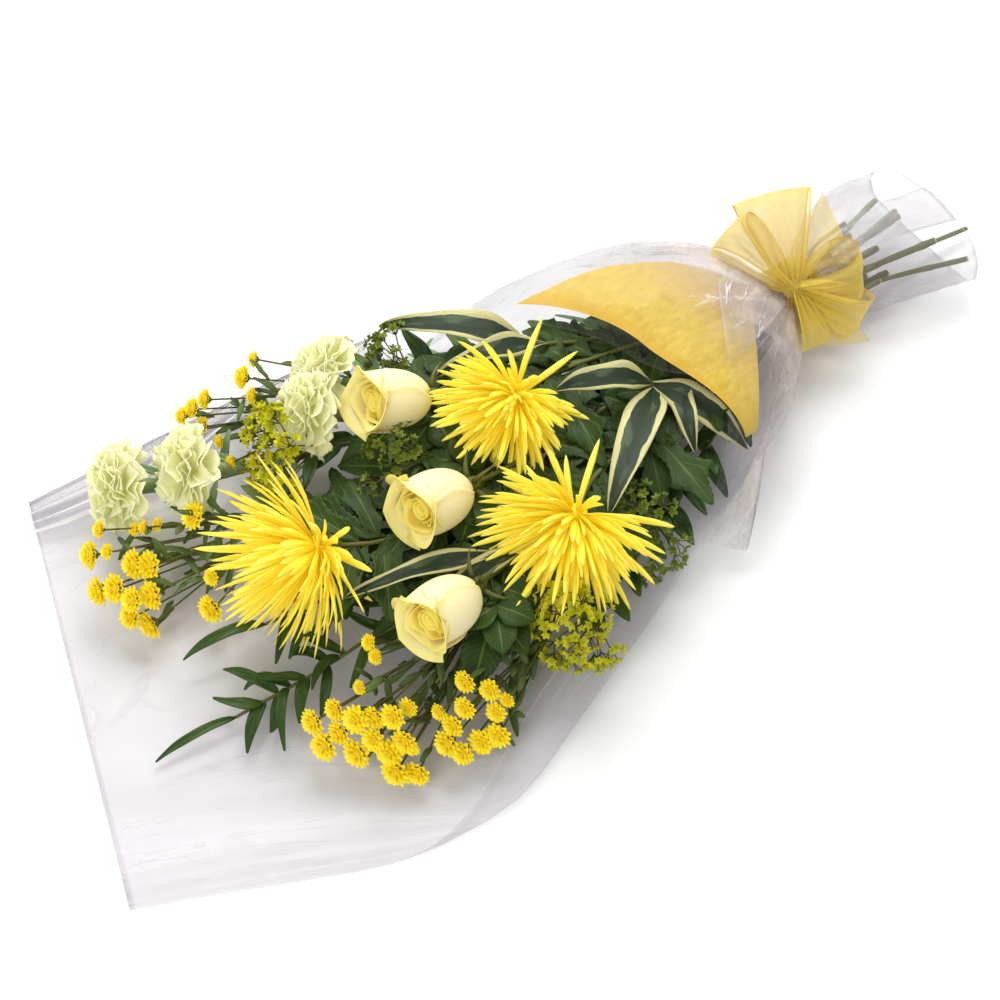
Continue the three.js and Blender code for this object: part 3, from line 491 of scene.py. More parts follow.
def organza(name, deep, pale, low, high):
    finish = Finish(name, Roughness=0.5, Sheen_Weight=0.2, Sheen_Roughness=0.4)
    across, along = finish.across_and_along()
    selvage = abs(across - 0.5).step(0.468, 0.478)
    warp = (across * FULL_TURN * 60).sine()
    weft = (along * FULL_TURN * 120).sine()
    cloud = finish.cloudy(60, 4)
    colour = finish.blend(cloud * 0.5 + selvage * 0.6, pale, deep)
    finish.bumpy(warp * weft * 0.3 + cloud, 0.3)
    glaze = finish.node("LayerWeight", inputs={"Blend": 0.35}, output="Facing")
    alpha = low + (high - low) * (cloud * 0.5 + glaze * 0.8) + selvage * 0.35
    # The faint emission of the ribbon's own colour is a painted glow.
    return finish.paint(Base_Color=colour, Alpha=alpha, Emission_Color=colour, Emission_Strength=0.04)


MUM_GOLD = mum_petals()
ROSE_CREAM = rose_petals()
CARNATION_PALE = carnation_petals()
BUTTON_GOLD = button_petals()
LOBED_GREEN = leaf_finish(
    "chrysanthemum_leaf", tone(20, 38, 12), tone(60, 84, 28), tone(104, 124, 62), 0.5, 5
)
ROSE_GREEN = leaf_finish("rose_leaf", tone(22, 42, 14), tone(66, 92, 32), tone(116, 138, 70), 0.42, 9)
GRASS_GREEN = leaf_finish(
    "carnation_leaf", tone(92, 122, 84), tone(132, 158, 112), tone(160, 180, 140), 0.6, 1
)
RUSCUS_GREEN = leaf_finish("ruscus_leaf", tone(24, 48, 18), tone(64, 92, 36), tone(92, 120, 60), 0.34, 1)
# The lime thorow-wax glows faintly: a painted light that lifts the shade its bracts cast on each other.
LIME_GREEN = leaf_finish(
    "thorow_wax_lime", tone(150, 164, 14), tone(230, 222, 36), tone(238, 226, 50), 0.5, 2, 0.05
)
WAX_GREEN = leaf_finish("thorow_wax_green", tone(66, 92, 26), tone(140, 158, 52), tone(176, 184, 76), 0.5, 2)
BUTTON_GREEN = leaf_finish("button_leaf", tone(44, 66, 30), tone(106, 128, 66), tone(140, 156, 100), 0.55, 3)
STRIPED = striped_leaf()
STEM_GREEN = stem_green("stem_green", tone(60, 70, 24), tone(112, 118, 48), tone(112, 82, 42))
GREY_STEM = stem_green("grey_green_stem", tone(92, 120, 76), tone(138, 160, 108), tone(150, 150, 110))
CLEAR_FILM = clear_film()
SLEEVE_CLOTH = tissue_cloth()
RIBBON_CLOTH = organza("ribbon_organza", tone(228, 190, 44), tone(244, 218, 90), 0.38, 0.78)
print("finishes:", len(bpy.data.materials))

# %% [markdown]
# The stems are the skeleton of the sheaf. Each is cut past the tie, runs straight through the tied
# neck in its own place, and bends up to its flower. Sorted by slope into columns across the neck,
# and by height within a column, straight stems never cross.

# %% The stems' layout
NECK = V((288, 30, 31))
# Past the tie the stems fan out: by these factors across and upwards, at this distance.
CUT_SPREAD, SPREAD_DISTANCE = (3.3, 1.8), 130
NECK_COLUMNS = [3, 4, 5, 5, 4, 3]
STEM_PITCH = 5.3
STRAIGHT = 14
# Each stem: its flower's base, the way that the flower faces, its radius, its bend and its cut end.
STEMS = {
    "mum_1": ((48, 43, 84), (-0.83, -0.3, 0.46), 2.3, 42, 107),
    "mum_2": ((-130, 15, 76), (-0.93, 0.24, 0.27), 2.3, 45, 64),
    "mum_3": ((25, -60, 85), (-0.74, -0.56, 0.37), 2.3, 42, 117),
    "rose_1": ((-7, 80, 80), (-0.88, 0.17, 0.37), 2.4, 40, 52),
    "rose_2": ((-27, 0, 82), (-0.95, -0.11, 0.32), 2.4, 40, 75),
    "rose_3": ((-66, -67, 76), (-0.95, -0.22, 0.24), 2.4, 40, 58),
    "carnation_1": ((-208, 156, 38), (-0.9, 0.3, 0.25), 2, 50, 60),
    "carnation_2": ((-163, 133, 50), (-0.9, 0.3, 0.25), 2, 50, 122),
    "carnation_3": ((-69, 119, 62), (-0.86, 0.42, 0.3), 2, 45, 48),
    "carnation_4": ((-48, 135, 62), (-0.72, 0.6, 0.34), 2, 45, 113),
    "buttons_1": ((-150, 88, 34), (-0.96, 0.24, -0.03), 1.8, 50, 66),
    "buttons_2": ((-30, 140, 34), (-0.93, 0.36, 0.05), 1.8, 50, 56),
    "buttons_3": ((-84, -76, 34), (-0.95, -0.3, -0.05), 1.8, 50, 72),
    "buttons_4": ((-30, -104, 36), (-0.94, -0.33, -0.04), 1.8, 45, 135),
    "thorow_wax_1": ((-98, 112, 50), (-0.93, 0.36, 0.12), 1.5, 45, 50),
    "thorow_wax_2": ((-40, 46, 64), (-0.93, 0.25, 0.22), 1.5, 45, 70),
    "thorow_wax_3": ((-4, -112, 42), (-0.9, -0.3, 0.2), 1.5, 40, 46),
    "thorow_wax_4": ((76, -80, 50), (-0.85, -0.35, 0.3), 1.5, 35, 62),
    "thorow_wax_5": ((2, 120, 52), (-0.88, 0.4, 0.1), 1.5, 40, 74),
    "ruscus_1": ((-240, -30, 12), (-0.97, 0.05, -0.1), 1.5, 90, 168),
    "ruscus_2": ((-188, 14, 26), (-0.96, 0.16, -0.1), 1.5, 80, 54),
    "dracaena_1": ((137, 7, 66), (-0.8, -0.1, 0.55), 2.3, 40, 44),
    "dracaena_2": ((84, 82, 70), (-0.9, 0.25, 0.3), 2.3, 40, 68),
    "dracaena_3": ((-30, -52, 66), (-0.95, 0.15, 0.2), 2.3, 40, 78),
}


class Stem:
    """One stem: where it stands, its middle line and what it carries."""

    def __init__(self, base, faces, radius, bend_length, cut):
        self.base, self.faces = V(base), V(faces).normalized()
        self.radius, self.bend, self.cut = radius, bend_length, cut
        self.aim = self.base - self.faces * bend_length
        run = NECK.x - self.aim.x
        self.sideways = (self.aim.y - NECK.y) / run
        self.upwards = (self.aim.z - NECK.z) / run

    def set_line(self, y, z):
        """Runs the line from the cut end, through the neck at (y, z), to the flower."""

        def beyond(distance, spread):
            return NECK + V((distance, y * mix(1, CUT_SPREAD[0], spread), z * mix(1, CUT_SPREAD[1], spread)))

        leaves = beyond(-STRAIGHT, 0)
        cut_end = beyond(self.cut, self.cut / SPREAD_DISTANCE)
        fanned = [cut_end, beyond(self.cut * 0.55, 0.42), beyond(STRAIGHT, 0)]
        self.points = [*fanned, leaves, leaves.lerp(self.aim, 0.5), self.aim, self.base]

    def line(self, t):
        """The middle line, from its cut end at 0 to the flower at 1, smooth through every point."""
        count = len(self.points) - 1
        i = min(int(t * count), count - 1)
        p1, p2 = self.points[i], self.points[i + 1]
        p0 = self.points[i - 1] if i else p1 * 2 - p2
        p3 = self.points[i + 2] if i + 2 <= count else p2 * 2 - p1
        before, here, after = (math.sqrt((b - a).length) for a, b in ((p0, p1), (p1, p2), (p2, p3)))
        leave = ((p1 - p0) / before - (p2 - p0) / (before + here) + (p2 - p1) / here) * here
        arrive = ((p2 - p1) / here - (p3 - p1) / (here + after) + (p3 - p2) / after) * here
        w = t * count - i
        cubic = p1 * 2 - p2 * 2 + leave + arrive
        square = p2 * 3 - p1 * 3 - leave * 2 - arrive
        return p1 + leave * w + square * w * w + cubic * w**3


stems = {name: Stem(*row) for name, row in STEMS.items()}
order = sorted(stems.values(), key=lambda stem: stem.sideways)
middle_column = (len(NECK_COLUMNS) - 1) / 2
for column, count in enumerate(NECK_COLUMNS):
    members, order = sorted(order[:count], key=lambda stem: stem.upwards), order[count:]
    for row, stem in enumerate(members):
        stem.set_line((column - middle_column) * STEM_PITCH, (row - (count - 1) / 2) * STEM_PITCH)
print("longest stem reaches", max(round(stem.line(0).x) for stem in stems.values()), "mm")

# %% [markdown]
# A stem is a rod with many rings, thicker at each node and towards its foot, and cut across there,
# where the pale pith shows. Under its flower it widens: to a cup under a chrysanthemum, a hip under a
# rose, and a long calyx under a carnation.

# %% Stems
CUPS = {
    "mum": [(9, 2.2), (6, 4), (4, 7), (1.5, 8.6), (0, 9)],
    "rose": [(12, 2.2), (9.5, 4), (7, 5.6), (3, 6.3), (0, 6)],
    "carnation": [(27, 1.9), (24, 3.6), (20, 4.8), (10, 5.6), (0, 6.2)],
}


def kind_of(name):
    return name.rsplit("_", 1)[0]


def grow_stem(bm, name, draw):
    """A stem with its cup, and a pale cut face at its foot."""
    stem = stems[name]
    # The bend is the last of the line's six stretches.
    bend_share = 1 / 6
    cup = CUPS.get(kind_of(name), [(0, 0.8 * stem.radius)])
    start = 1 - bend_share * cup[0][0] / stem.bend
    rings = [(0, 0), (0, 1.2 * stem.radius)]
    node = draw.uniform(0.05, 0.09)
    for i in range(1, 60):
        t = i / 60
        swell = math.exp(-(((t / node) % 1 - 0.5) ** 2) * 90)
        if t < start - 0.01:
            taper = (1 - 0.18 * t) * (1.25 - 0.25 * ease(t, 0.05, 0.25))
            rings.append((t, stem.radius * (0.94 + 0.2 * swell) * taper))
    rings += [(1 - bend_share * before / stem.bend, radius) for before, radius in cup]
    rod(bm, stem.line, [*rings, (1, 0)], 9, 0.4)
    layer = bm.verts.layers.float["tint"]
    foot = stem.line(0)
    for vert in bm.verts:
        if (vert.co - foot).length < stem.radius * 1.25:
            vert[layer] = 1


# %% [markdown]
# All the leaves are grown by one recipe: a sheet that follows an arched line from its stem to its
# tip. Its outline says how wide it is, its fold lifts the two halves, and a small wave along the
# edges keeps it from looking cut out of card. Lobes and teeth are only a change of outline.

# %% Leaves
# Each leaf: its stem, where it leaves the stem, its tip, its width and its kind.
LEAVES = [
    ("mum_1", 0.8, (92, 74, 66), 34, "lobed"),
    ("mum_1", 0.88, (-26, 46, 58), 32, "lobed"),
    ("mum_1", 0.84, (66, -34, 70), 34, "lobed"),
    ("mum_2", 0.86, (-88, 62, 62), 30, "lobed"),
    ("mum_2", 0.92, (-146, -26, 50), 28, "lobed"),
    ("mum_2", 0.8, (-91, 65, 46), 30, "lobed"),
    ("mum_2", 0.78, (-91, 11, 44), 30, "lobed"),
    ("mum_2", 0.84, (-114, 17, 40), 26, "lobed"),
    ("mum_2", 0.88, (-87, 90, 40), 28, "lobed"),
    ("mum_2", 0.9, (-131, -7, 34), 28, "lobed"),
    ("mum_3", 0.74, (112, -100, 66), 38, "lobed"),
    ("mum_3", 0.84, (64, -112, 54), 32, "lobed"),
    ("mum_3", 0.9, (-52, -102, 60), 32, "lobed"),
    ("rose_1", 0.84, (-22, 112, 64), 26, "rose"),
    ("rose_2", 0.84, (-68, 40, 56), 26, "rose"),
    ("rose_2", 0.86, (-20, -50, 68), 28, "rose"),
    ("rose_2", 0.82, (-88, 39, 40), 24, "rose"),
    ("rose_1", 0.84, (-81, 86, 40), 26, "rose"),
    ("rose_2", 0.86, (-82, 87, 44), 24, "rose"),
    ("rose_3", 0.84, (-132, -11, 36), 24, "rose"),
    ("rose_3", 0.9, (-135, -41, 32), 22, "rose"),
    ("rose_3", 0.82, (-56, -34, 54), 26, "rose"),
    ("rose_3", 0.86, (-100, -116, 44), 26, "rose"),
    ("carnation_1", 0.82, (-130, 158, 44), 6, "grass"),
    ("carnation_2", 0.85, (-106, 96, 50), 6, "grass"),
    ("carnation_3", 0.84, (-14, 146, 66), 6, "grass"),
    ("carnation_4", 0.84, (34, 140, 50), 6, "grass"),
    ("dracaena_1", 1, (170, -68, 46), 29, "striped"),
    ("dracaena_1", 0.96, (39, -76, 88), 31, "striped"),
    ("dracaena_1", 0.98, (65, 28, 90), 24, "striped"),
    ("dracaena_1", 0.9, (126, -60, 70), 20, "striped"),
    ("dracaena_2", 1, (2, 158, 70), 25, "striped"),
    ("dracaena_2", 0.95, (10, 96, 72), 20, "striped"),
    ("dracaena_3", 1, (-142, -22, 70), 18, "striped"),
    ("dracaena_3", 0.94, (-96, -58, 62), 17, "striped"),
]
print(len(LEAVES), "leaves that the eye picks out, each in its own place")


def oval(width, full):
    """Half the width of a pointed oval leaf that is widest at full."""
    power = math.log(0.5) / math.log(full)
    return lambda t: 0.7 + width / 2 * max(math.sin(math.pi * min(max(t, 0), 1) ** power), 0) ** 0.85


def ribbon_like(width):
    """Half the width of a long leaf with nearly even sides and a drawn-out tip."""
    return lambda t: 0.5 + width / 2 * ease(t, -0.05, 0.35) * max(1 - t**2.2, 0) ** 0.8


def lobed(width):
    """Half the width of a chrysanthemum leaf: rounded lobes, cut deep."""
    whole = oval(width, 0.55)
    return lambda t: whole(t) * (1 - 0.5 * abs(math.cos(math.pi * 2.5 * t)) ** 0.7 + 0.05 * math.sin(t * 90))


def toothed(width):
    """Half the width of a rose leaflet, with a saw edge."""
    whole = oval(width, 0.48)
    return lambda t: whole(t) * (1 + 0.07 * (1 - (t * 15) % 1))


def blade(bm, line, outline, across, along, fold, draw, forward=0.0, wave=0.6, tint=None):
    """A leaf blade along a line. forward sweeps its edges towards the tip."""
    phase, pitch = draw.uniform(0, 6), draw.uniform(9, 14)
    roll = draw.uniform(-0.3, 0.3)

    def place(u, v):
        side = u * 2 - 1
        tangent = heading(line, v)
        aside = UP.cross(tangent).normalized()
        over = tangent.cross(aside)
        reach = outline(v) * abs(side)
        lift = reach * (fold + roll * side) + wave * side * side * math.sin(v * pitch + phase + side)
        onward = forward * reach * math.sin(math.pi * v)
        return line(v) - aside * side * outline(v) + over * lift + tangent * onward

    sheet(bm, across, along, place, draw.uniform(0, 1) if tint is None else tint)


def arched(start, tip, arch):
    """A line from a stem out to a leaf's tip, arched upwards."""
    return bend(start, start.lerp(tip, 0.5) + UP * arch, tip)


def rose_leaf(bm, start, tip, width, draw):
    """A stalk with one leaflet at its end and a pair behind it."""
    forward = tip - start
    aside = UP.cross(forward).normalized()
    stalk = arched(start, start.lerp(tip, 0.5), 4)
    rod(bm, stalk, capped([0.9, 0.8, 0.7, 0.6]), 6)
    for side in (-1, 0, 1):
        root = stalk(0.8 if side else 1)
        end = root + forward * 0.25 + aside * side * width * 1.15 if side else tip
        blade(bm, arched(root, end, 3), toothed(width), 6, 34, 0.25, draw)


def grow_leaf(bm, name, at, tip, width, kind, draw):
    start = stems[name].line(at)
    tip = V(tip)
    if kind == "lobed":
        blade(bm, arched(start, tip, 10), lobed(width), 8, 44, 0.2, draw, 0.45, 1.2)
    elif kind == "lance":
        blade(bm, arched(start, tip, 5), oval(width, 0.42), 4, 12, 0.3, draw)
    elif kind == "grass":
        blade(bm, arched(start, tip, 12), ribbon_like(width), 4, 20, 0.3, draw, wave=0.3)
    elif kind == "striped":
        blade(bm, arched(start, tip, 24), ribbon_like(width), 8, 30, 0.3, draw, wave=1.6)
    else:
        rose_leaf(bm, start, tip, width, draw)


# %% [markdown]
# Between the blooms the sheaf is packed with leaves. Each stem carries more of its own kind below
# its flower, pointing forwards and outwards, low enough to stay under the blooms.

# %% Undergrowth
# For each kind of stem: the leaf, how many more it carries, and from where to where along it.
UNDERGROWTH = {
    "mum": ("lobed", 18, 0.6, 0.94),
    "rose": ("rose", 10, 0.64, 0.94),
    "carnation": ("grass", 5, 0.6, 0.92),
    "buttons": ("lance", 9, 0.6, 0.95),
    "thorow_wax": ("lance", 10, 0.62, 0.97),
}
# Past this x the sleeve covers the leaves.
UNDER_SLEEVE = 174
LEAF_WIDTHS = {"lobed": (26, 34), "rose": (21, 26), "grass": (5, 6), "lance": (8, 12)}
LEAF_LENGTHS = {"lobed": (44, 66), "rose": (44, 62), "grass": (44, 66), "lance": (26, 42)}


def grow_undergrowth(bm, name, draw):
    kind, count, low, high = UNDERGROWTH[kind_of(name)]
    for i in range(count):
        at = mix(low, high, (i + 0.5) / count)
        start = stems[name].line(at)
        along = heading(stems[name].line, at)
        aside = UP.cross(along).normalized() * (1 if i % 2 else -1)
        way = (along * draw.uniform(0.3, 1) + aside * draw.uniform(0.4, 1.2)).normalized()
        tip = start + way * draw.uniform(*LEAF_LENGTHS[kind])
        tip.x = min(tip.x, UNDER_SLEEVE)
        tip.z = min(max(start.z + draw.uniform(-14, 16), 12), 64)
        grow_leaf(bm, name, at, tip, draw.uniform(*LEAF_WIDTHS[kind]), kind, draw)


# %% [markdown]
# Soft ruscus carries slim glossy leaves in loose pairs along a thin stem, with one at the tip. No two
# curve alike, so each leaf draws its own bend.

# %% Ruscus
RUSCUS_PAIRS, RUSCUS_LENGTH, RUSCUS_TIP = 11, 52, 62


def ruscus_leaf(bm, start, tip, aside, draw):
    """A slim glossy leaf that curves a little to one side."""
    tip.z = max(tip.z, 6)
    middle = start.lerp(tip, 0.5) + UP * draw.uniform(0, 12) + aside * draw.uniform(-17, 17)
    blade(bm, bend(start, middle, tip), oval(draw.uniform(5, 8.5), 0.4), 6, 16, 0.3, draw)


def grow_ruscus(bm, name, draw):
    stem = stems[name]
    along = heading(stem.line, 0.99)
    aside = UP.cross(along).normalized()
    for i in range(RUSCUS_PAIRS):
        for side in (-1, 1):
            start = stem.line(mix(0.71, 0.99, (i + draw.uniform(-0.4, 0.4)) / RUSCUS_PAIRS))
            rise = UP * draw.uniform(-0.15, 0.6)
            way = (along + aside * side * draw.uniform(0.45, 1.7) + rise).normalized()
            tip = start + way * RUSCUS_LENGTH * draw.uniform(0.5, 0.95)
            ruscus_leaf(bm, start, tip, aside, draw)
    ruscus_leaf(bm, stem.line(1), stem.line(1) + along * RUSCUS_TIP, aside, draw)


# %% [markdown]
# A spider chrysanthemum is a burst of long narrow florets. They follow the golden angle round the
# bloom, so that no two line up. Each is a flattened rod with a point. The bloom leans towards the
# mouth of the wrapper, so the florets are dense there and sparse on the side of the stems. It is
# pressed down a little from above, and a few long florets have sprung away from it.

# %% Spider chrysanthemums
# The way from the sheaf to someone who looks at it.
SHOWN = V((-0.3, -0.44, 0.85))
STEM_SIDE = V((0.82, 0.32, 0.47))
MUM_REACH = {"mum_1": 70, "mum_2": 87, "mum_3": 82}
MUM_FLORETS, MUM_HEART = 280, 9.5
# Above this height a bloom rises by only this share.
PRESSED_FROM, PRESSED_SHARE = 108, 0.36
# A floret's rings: the place along it, and the radius.
FLORET = [(0, 0), (0, 1.2), (0.25, 1.9), (0.5, 2.35), (0.75, 2.3), (0.9, 1.5), (0.97, 0.7), (1, 0)]
# The tips of a few long florets that have sprung away from their bloom.
SPRUNG = {
    "mum_1": [(83, 69, 118), (91, 36, 110)],
    "mum_2": [(-125, -30, 60), (-126, -7, 66), (-138, -20, 50)],
    "mum_3": [(60, -34, 112), (33, -32, 112), (7, -21, 108)],
}


def pressed(point):
    """A point of a bloom, pressed down where it stands highest."""
    return V((point.x, point.y, min(point.z, mix(PRESSED_FROM, point.z, PRESSED_SHARE))))


def grow_mum(bm, name, draw):
    stem = stems[name]
    middle = stem.base + stem.faces * 9
    core = bmesh.ops.create_icosphere(bm, subdivisions=2, radius=MUM_HEART, calc_uvs=True)["verts"]
    bmesh.ops.transform(bm, matrix=standing(middle, stem.faces, 1), verts=core)
    for i in range(MUM_FLORETS):
        share = (i + 0.5) / MUM_FLORETS
        tilt = math.radians(mix(3, 104, share**0.6) + draw.uniform(-10, 10))
        out = leaning(stem.faces, tilt, i * GOLDEN_ANGLE + draw.uniform(-0.15, 0.15))
        rise = (out + stem.faces * draw.uniform(0.15, 0.75)).normalized()
        length = MUM_REACH[name] * mix(1, 0.9, share) * draw.uniform(0.7, 1.04) - 4
        if draw.random() < out.dot(STEM_SIDE) * 1.3 - 0.1:
            continue
        side = out.cross(stem.faces).normalized()
        side = (side + stem.faces.cross(side) * draw.uniform(-0.5, 0.5)).normalized()
        sway = side * draw.uniform(-8, 8)
        bent = middle + out * length * 0.6 + sway
        line = bend(middle + out * 4, pressed(bent), pressed(bent + rise * length * 0.4 + sway))
        size = draw.uniform(0.85, 1.2)
        rings = [(t, radius * size) for t, radius in FLORET]
        rod(bm, line, rings, 6, share * 0.9 + draw.uniform(0, 0.1), side, 0.3)
    for tip in SPRUNG[name]:
        out = V(tip) - middle
        line = bend(middle, middle + out * 0.5 + stem.faces * 9, V(tip))
        rod(bm, line, FLORET, 6, 0.9, out.cross(SHOWN).normalized(), 0.3)


# %% [markdown]
# A half-open rose is a rolled heart in a spiral of overlapping petals. Each petal wraps part of the
# swelling bud, and its lip rolls outwards, most at its two sides, which leaves a soft point in the
# middle.

# %% Roses
ROSE_HEIGHT, ROSE_WIDTH = 57, 43
# Each layer: how many petals, how wide it stands, how high, half its angle, its curl and its lip.
ROSE_LAYERS = [
    (3, 0.46, 0.86, 88, 0.6, 2.2),
    (4, 0.66, 0.91, 80, 0.9, 3.6),
    (4, 0.85, 0.95, 78, 1.2, 5.2),
    (3, 1.00, 0.97, 84, 1.5, 6.6),
]


def grow_rose(bm, name, draw):
    stem = stems[name]
    across, over = sides_of(stem.faces)

    def at(radius, turn, height):
        sideways = across * math.cos(turn) + over * math.sin(turn)
        return stem.base + stem.faces * height + sideways * radius

    def swell(h):
        return ROSE_WIDTH / 2 * (0.3 + 0.7 * math.sin(math.pi * 0.64 * min(max(h, 0), 1) ** 0.62))

    def heart(u, v):
        radius = (1.2 + 7.6 * u) * (0.8 + 0.2 * math.sin(math.pi * v)) + 1.8 * ease(v, 0.8, 1)
        return at(radius, u * FULL_TURN * 2.6, 4 + v * ROSE_HEIGHT * mix(0.7, 0.76, u))

    sheet(bm, 80, 14, heart, 0.0)
    # An edge of an outer petal crosses the side that is shown.
    shown = math.atan2(SHOWN.dot(over), SHOWN.dot(across))
    turn = shown + draw.uniform(0.6, 1.1) - 0.37 * FULL_TURN
    for layer, (petals, girth, tall, angle, bent, lip) in enumerate(ROSE_LAYERS):
        for i in range(petals):
            middle = turn + (i + 0.37 * layer) * FULL_TURN / petals + draw.uniform(-0.2, 0.2)
            height = ROSE_HEIGHT * tall * draw.uniform(0.93, 1.03)
            curl, hook = bent * draw.uniform(0.8, 1.15), lip * draw.uniform(0.8, 1.25)
            wobble, tuck = draw.uniform(0, 6), 1.2 + 0.6 * layer
            half = math.radians(angle * draw.uniform(0.92, 1.08))

            def place(u, v):
                side = u * 2 - 1
                body = min(v / 0.7, 1)
                spread = half * math.sin(math.pi * mix(0.16, 0.62, body))
                rim = height * (0.86 - 0.15 * abs(side) ** 1.5)
                roll = curl * ease(v, 0.6, 1.0) * (0.7 + 0.45 * side * side)
                point = hook * (1 + 0.5 * (1 - abs(side)) ** 2)
                ripple = (0.7 + 0.35 * layer) * math.sin(side * 4.6 + wobble) * ease(v, 0.6, 1)
                radius = swell(body) * girth + tuck * side * body + point * (1 - math.cos(roll)) + ripple
                return at(radius, middle + spread * side, 2.5 + body * rim + point * math.sin(roll))

            sheet(bm, 22, 24, place, (layer + 1) / len(ROSE_LAYERS))


def grow_sepals(bm, name):
    """The five sepals of a rose, bent back."""
    stem = stems[name]
    for i in range(5):
        turn = i * FULL_TURN / 5
        foot = stem.base - stem.faces * 2.4 + leaning(stem.faces, math.pi / 2, turn) * 4
        out = foot + leaning(stem.faces, math.radians(95), turn) * 12
        tip = out + leaning(stem.faces, math.radians(140), turn) * 12
        rod(bm, bend(foot, out, tip), capped([2.2, 2.0, 1.5, 0.9, 0.3]), 6)


# %% [markdown]
# A carnation is packed with fan-shaped petals. Each narrows to a claw, opens wide, and its edge is
# toothed and crimped like pinked cloth.

# %% Carnations
CARNATION_PETALS, CARNATION_REACH, CARNATION_HEART = 54, 36, 9


def grow_carnation(bm, name, draw):
    stem = stems[name]
    heart = stem.base + stem.faces * 9.5
    core = bmesh.ops.create_icosphere(bm, subdivisions=2, radius=CARNATION_HEART, calc_uvs=True)["verts"]
    bmesh.ops.transform(bm, matrix=standing(heart, stem.faces, 1), verts=core)
    for i in range(CARNATION_PETALS):
        share = (i + 0.5) / CARNATION_PETALS
        tilt = math.radians(mix(4, 94, share**0.6) + draw.uniform(-6, 6))
        turn = i * GOLDEN_ANGLE + draw.uniform(-0.2, 0.2)
        length = CARNATION_REACH * mix(0.84, 1, share) * draw.uniform(0.88, 1.05)
        out = leaning(stem.faces, tilt, turn)
        away = leaning(stem.faces, tilt + math.pi / 2, turn)
        twist = Matrix.Rotation(draw.uniform(-0.6, 0.6), 3, out)
        aside, over = twist @ out.cross(away), twist @ away
        phase, waves = draw.uniform(0, 6), draw.uniform(1.8, 3.0)

        def place(u, v):
            side = u * 2 - 1
            teeth = 1.2 * abs((u * 9) % 1 - 0.5) * ease(v, 0.75, 1)
            reach = mix(0.2, 1, v) * length - teeth - 3.5 * side * side * v
            crimp = 3.8 * math.sin(u * math.pi * waves + phase) * v * v + 5 * v * v
            crimp += 0.6 * math.sin(u * math.pi * waves * 2.6 + phase * 2) * v**3
            return heart + out * reach + aside * side * mix(2.5, 15, v**0.7) + over * crimp

        sheet(bm, 18, 8, place, share)


# %% [markdown]
# A button chrysanthemum is small enough to be made once and stamped: a domed disc with four rings
# of short blunt rays, 1 wide and with its middle at the origin. Each stalk ends in a green cup that
# the head sits in.

# %% Button chrysanthemums
def button_template():
    bm = blank()
    disc = bmesh.ops.create_uvsphere(bm, u_segments=12, v_segments=6, radius=0.2, calc_uvs=True)["verts"]
    bmesh.ops.scale(bm, vec=(1, 1, 0.7), verts=disc)
    # Each ring: how many rays, where they start and end, and how low and high they lie.
    rings = [
        (13, 0.14, 0.54, -0.06, -0.10),
        (12, 0.12, 0.50, 0.02, 0.04),
        (10, 0.08, 0.38, 0.08, 0.17),
        (7, 0.00, 0.24, 0.14, 0.25),
    ]
    for ring, (count, near, far, low, high) in enumerate(rings):
        for i in range(count):
            turn = (i + ring * 0.37) * FULL_TURN / count
            out, aside = V((math.cos(turn), math.sin(turn), 0)), V((-math.sin(turn), math.cos(turn), 0))
            wide = 0.11 - 0.012 * ring
            far_end = far * (1 - 0.14 * ((i * 7 + ring * 3) % 5) / 4)

            def place(u, v):
                half = wide * (0.6 + 0.5 * v) * (1 - 0.6 * ease(v, 0.7, 1))
                sag = 0.05 * (u * 2 - 1) ** 2 + 0.06 * v * v
                height = mix(low, high, v) + sag
                return out * mix(near, far_end, v) + aside * (u * 2 - 1) * half + UP * height

            sheet(bm, 2, 3, place)
    return template_of(bm, "button_head")


BUTTON_HEAD = button_template()
print(len(BUTTON_HEAD.polygons), "faces in one button")
# The heads and buds of each spray: x, y, z and width.
BUTTONS = {
    "buttons_1": [
        (-265, 121, 44, 17), (-244, 96, 46, 18), (-272, 100, 30, 18), (-258, 75, 40, 16),
        (-254, 61, 22, 18), (-192, 100, 58, 17), (-213, 46, 26, 18), (-251, 131, 52, 11),
        (-236, 88, 48, 18), (-263, 91, 38, 18), (-245, 71, 40, 18), (-263, 72, 26, 16),
        (-203, 60, 40, 11), (-255, 113, 50, 10), (-229, 122, 44, 9), (-224, 116, 50, 9),
        (-214, 115, 46, 9),
    ],
    "buttons_2": [
        (-102, 184, 56, 15), (-88, 191, 60, 11), (-103, 170, 50, 11), (-134, 184, 54, 13),
        (-153, 187, 44, 12), (-144, 174, 40, 12), (-105, 151, 48, 12), (-144, 186, 48, 13),
        (-155, 181, 34, 11), (-141, 154, 42, 9), (-145, 129, 50, 9),
    ],
    "buttons_3": [
        (-202, -73, 34, 16), (-204, -90, 28, 18), (-180, -93, 46, 17), (-188, -106, 26, 18),
        (-159, -107, 50, 16), (-170, -119, 28, 17), (-160, -137, 16, 16), (-187, -78, 44, 14),
        (-192, -91, 36, 15), (-168, -99, 46, 15), (-176, -108, 36, 15), (-159, -121, 36, 16),
        (-172, -129, 18, 18), (-146, -106, 48, 12), (-156, -125, 30, 10), (-165, -75, 48, 9),
        (-143, -52, 54, 10), (-144, -62, 50, 10),
    ],
    "buttons_4": [
        (-130, -120, 46, 11), (-114, -127, 46, 14), (-134, -135, 28, 17), (-93, -126, 48, 14),
        (-105, -114, 54, 14), (-102, -149, 28, 16), (-126, -130, 38, 14), (-128, -144, 22, 15),
        (-113, -145, 24, 16), (-96, -138, 38, 13), (-86, -136, 42, 10),
    ],
}
# A head in full bloom is a little wider than it looks from the side.
FULLNESS = 1.22


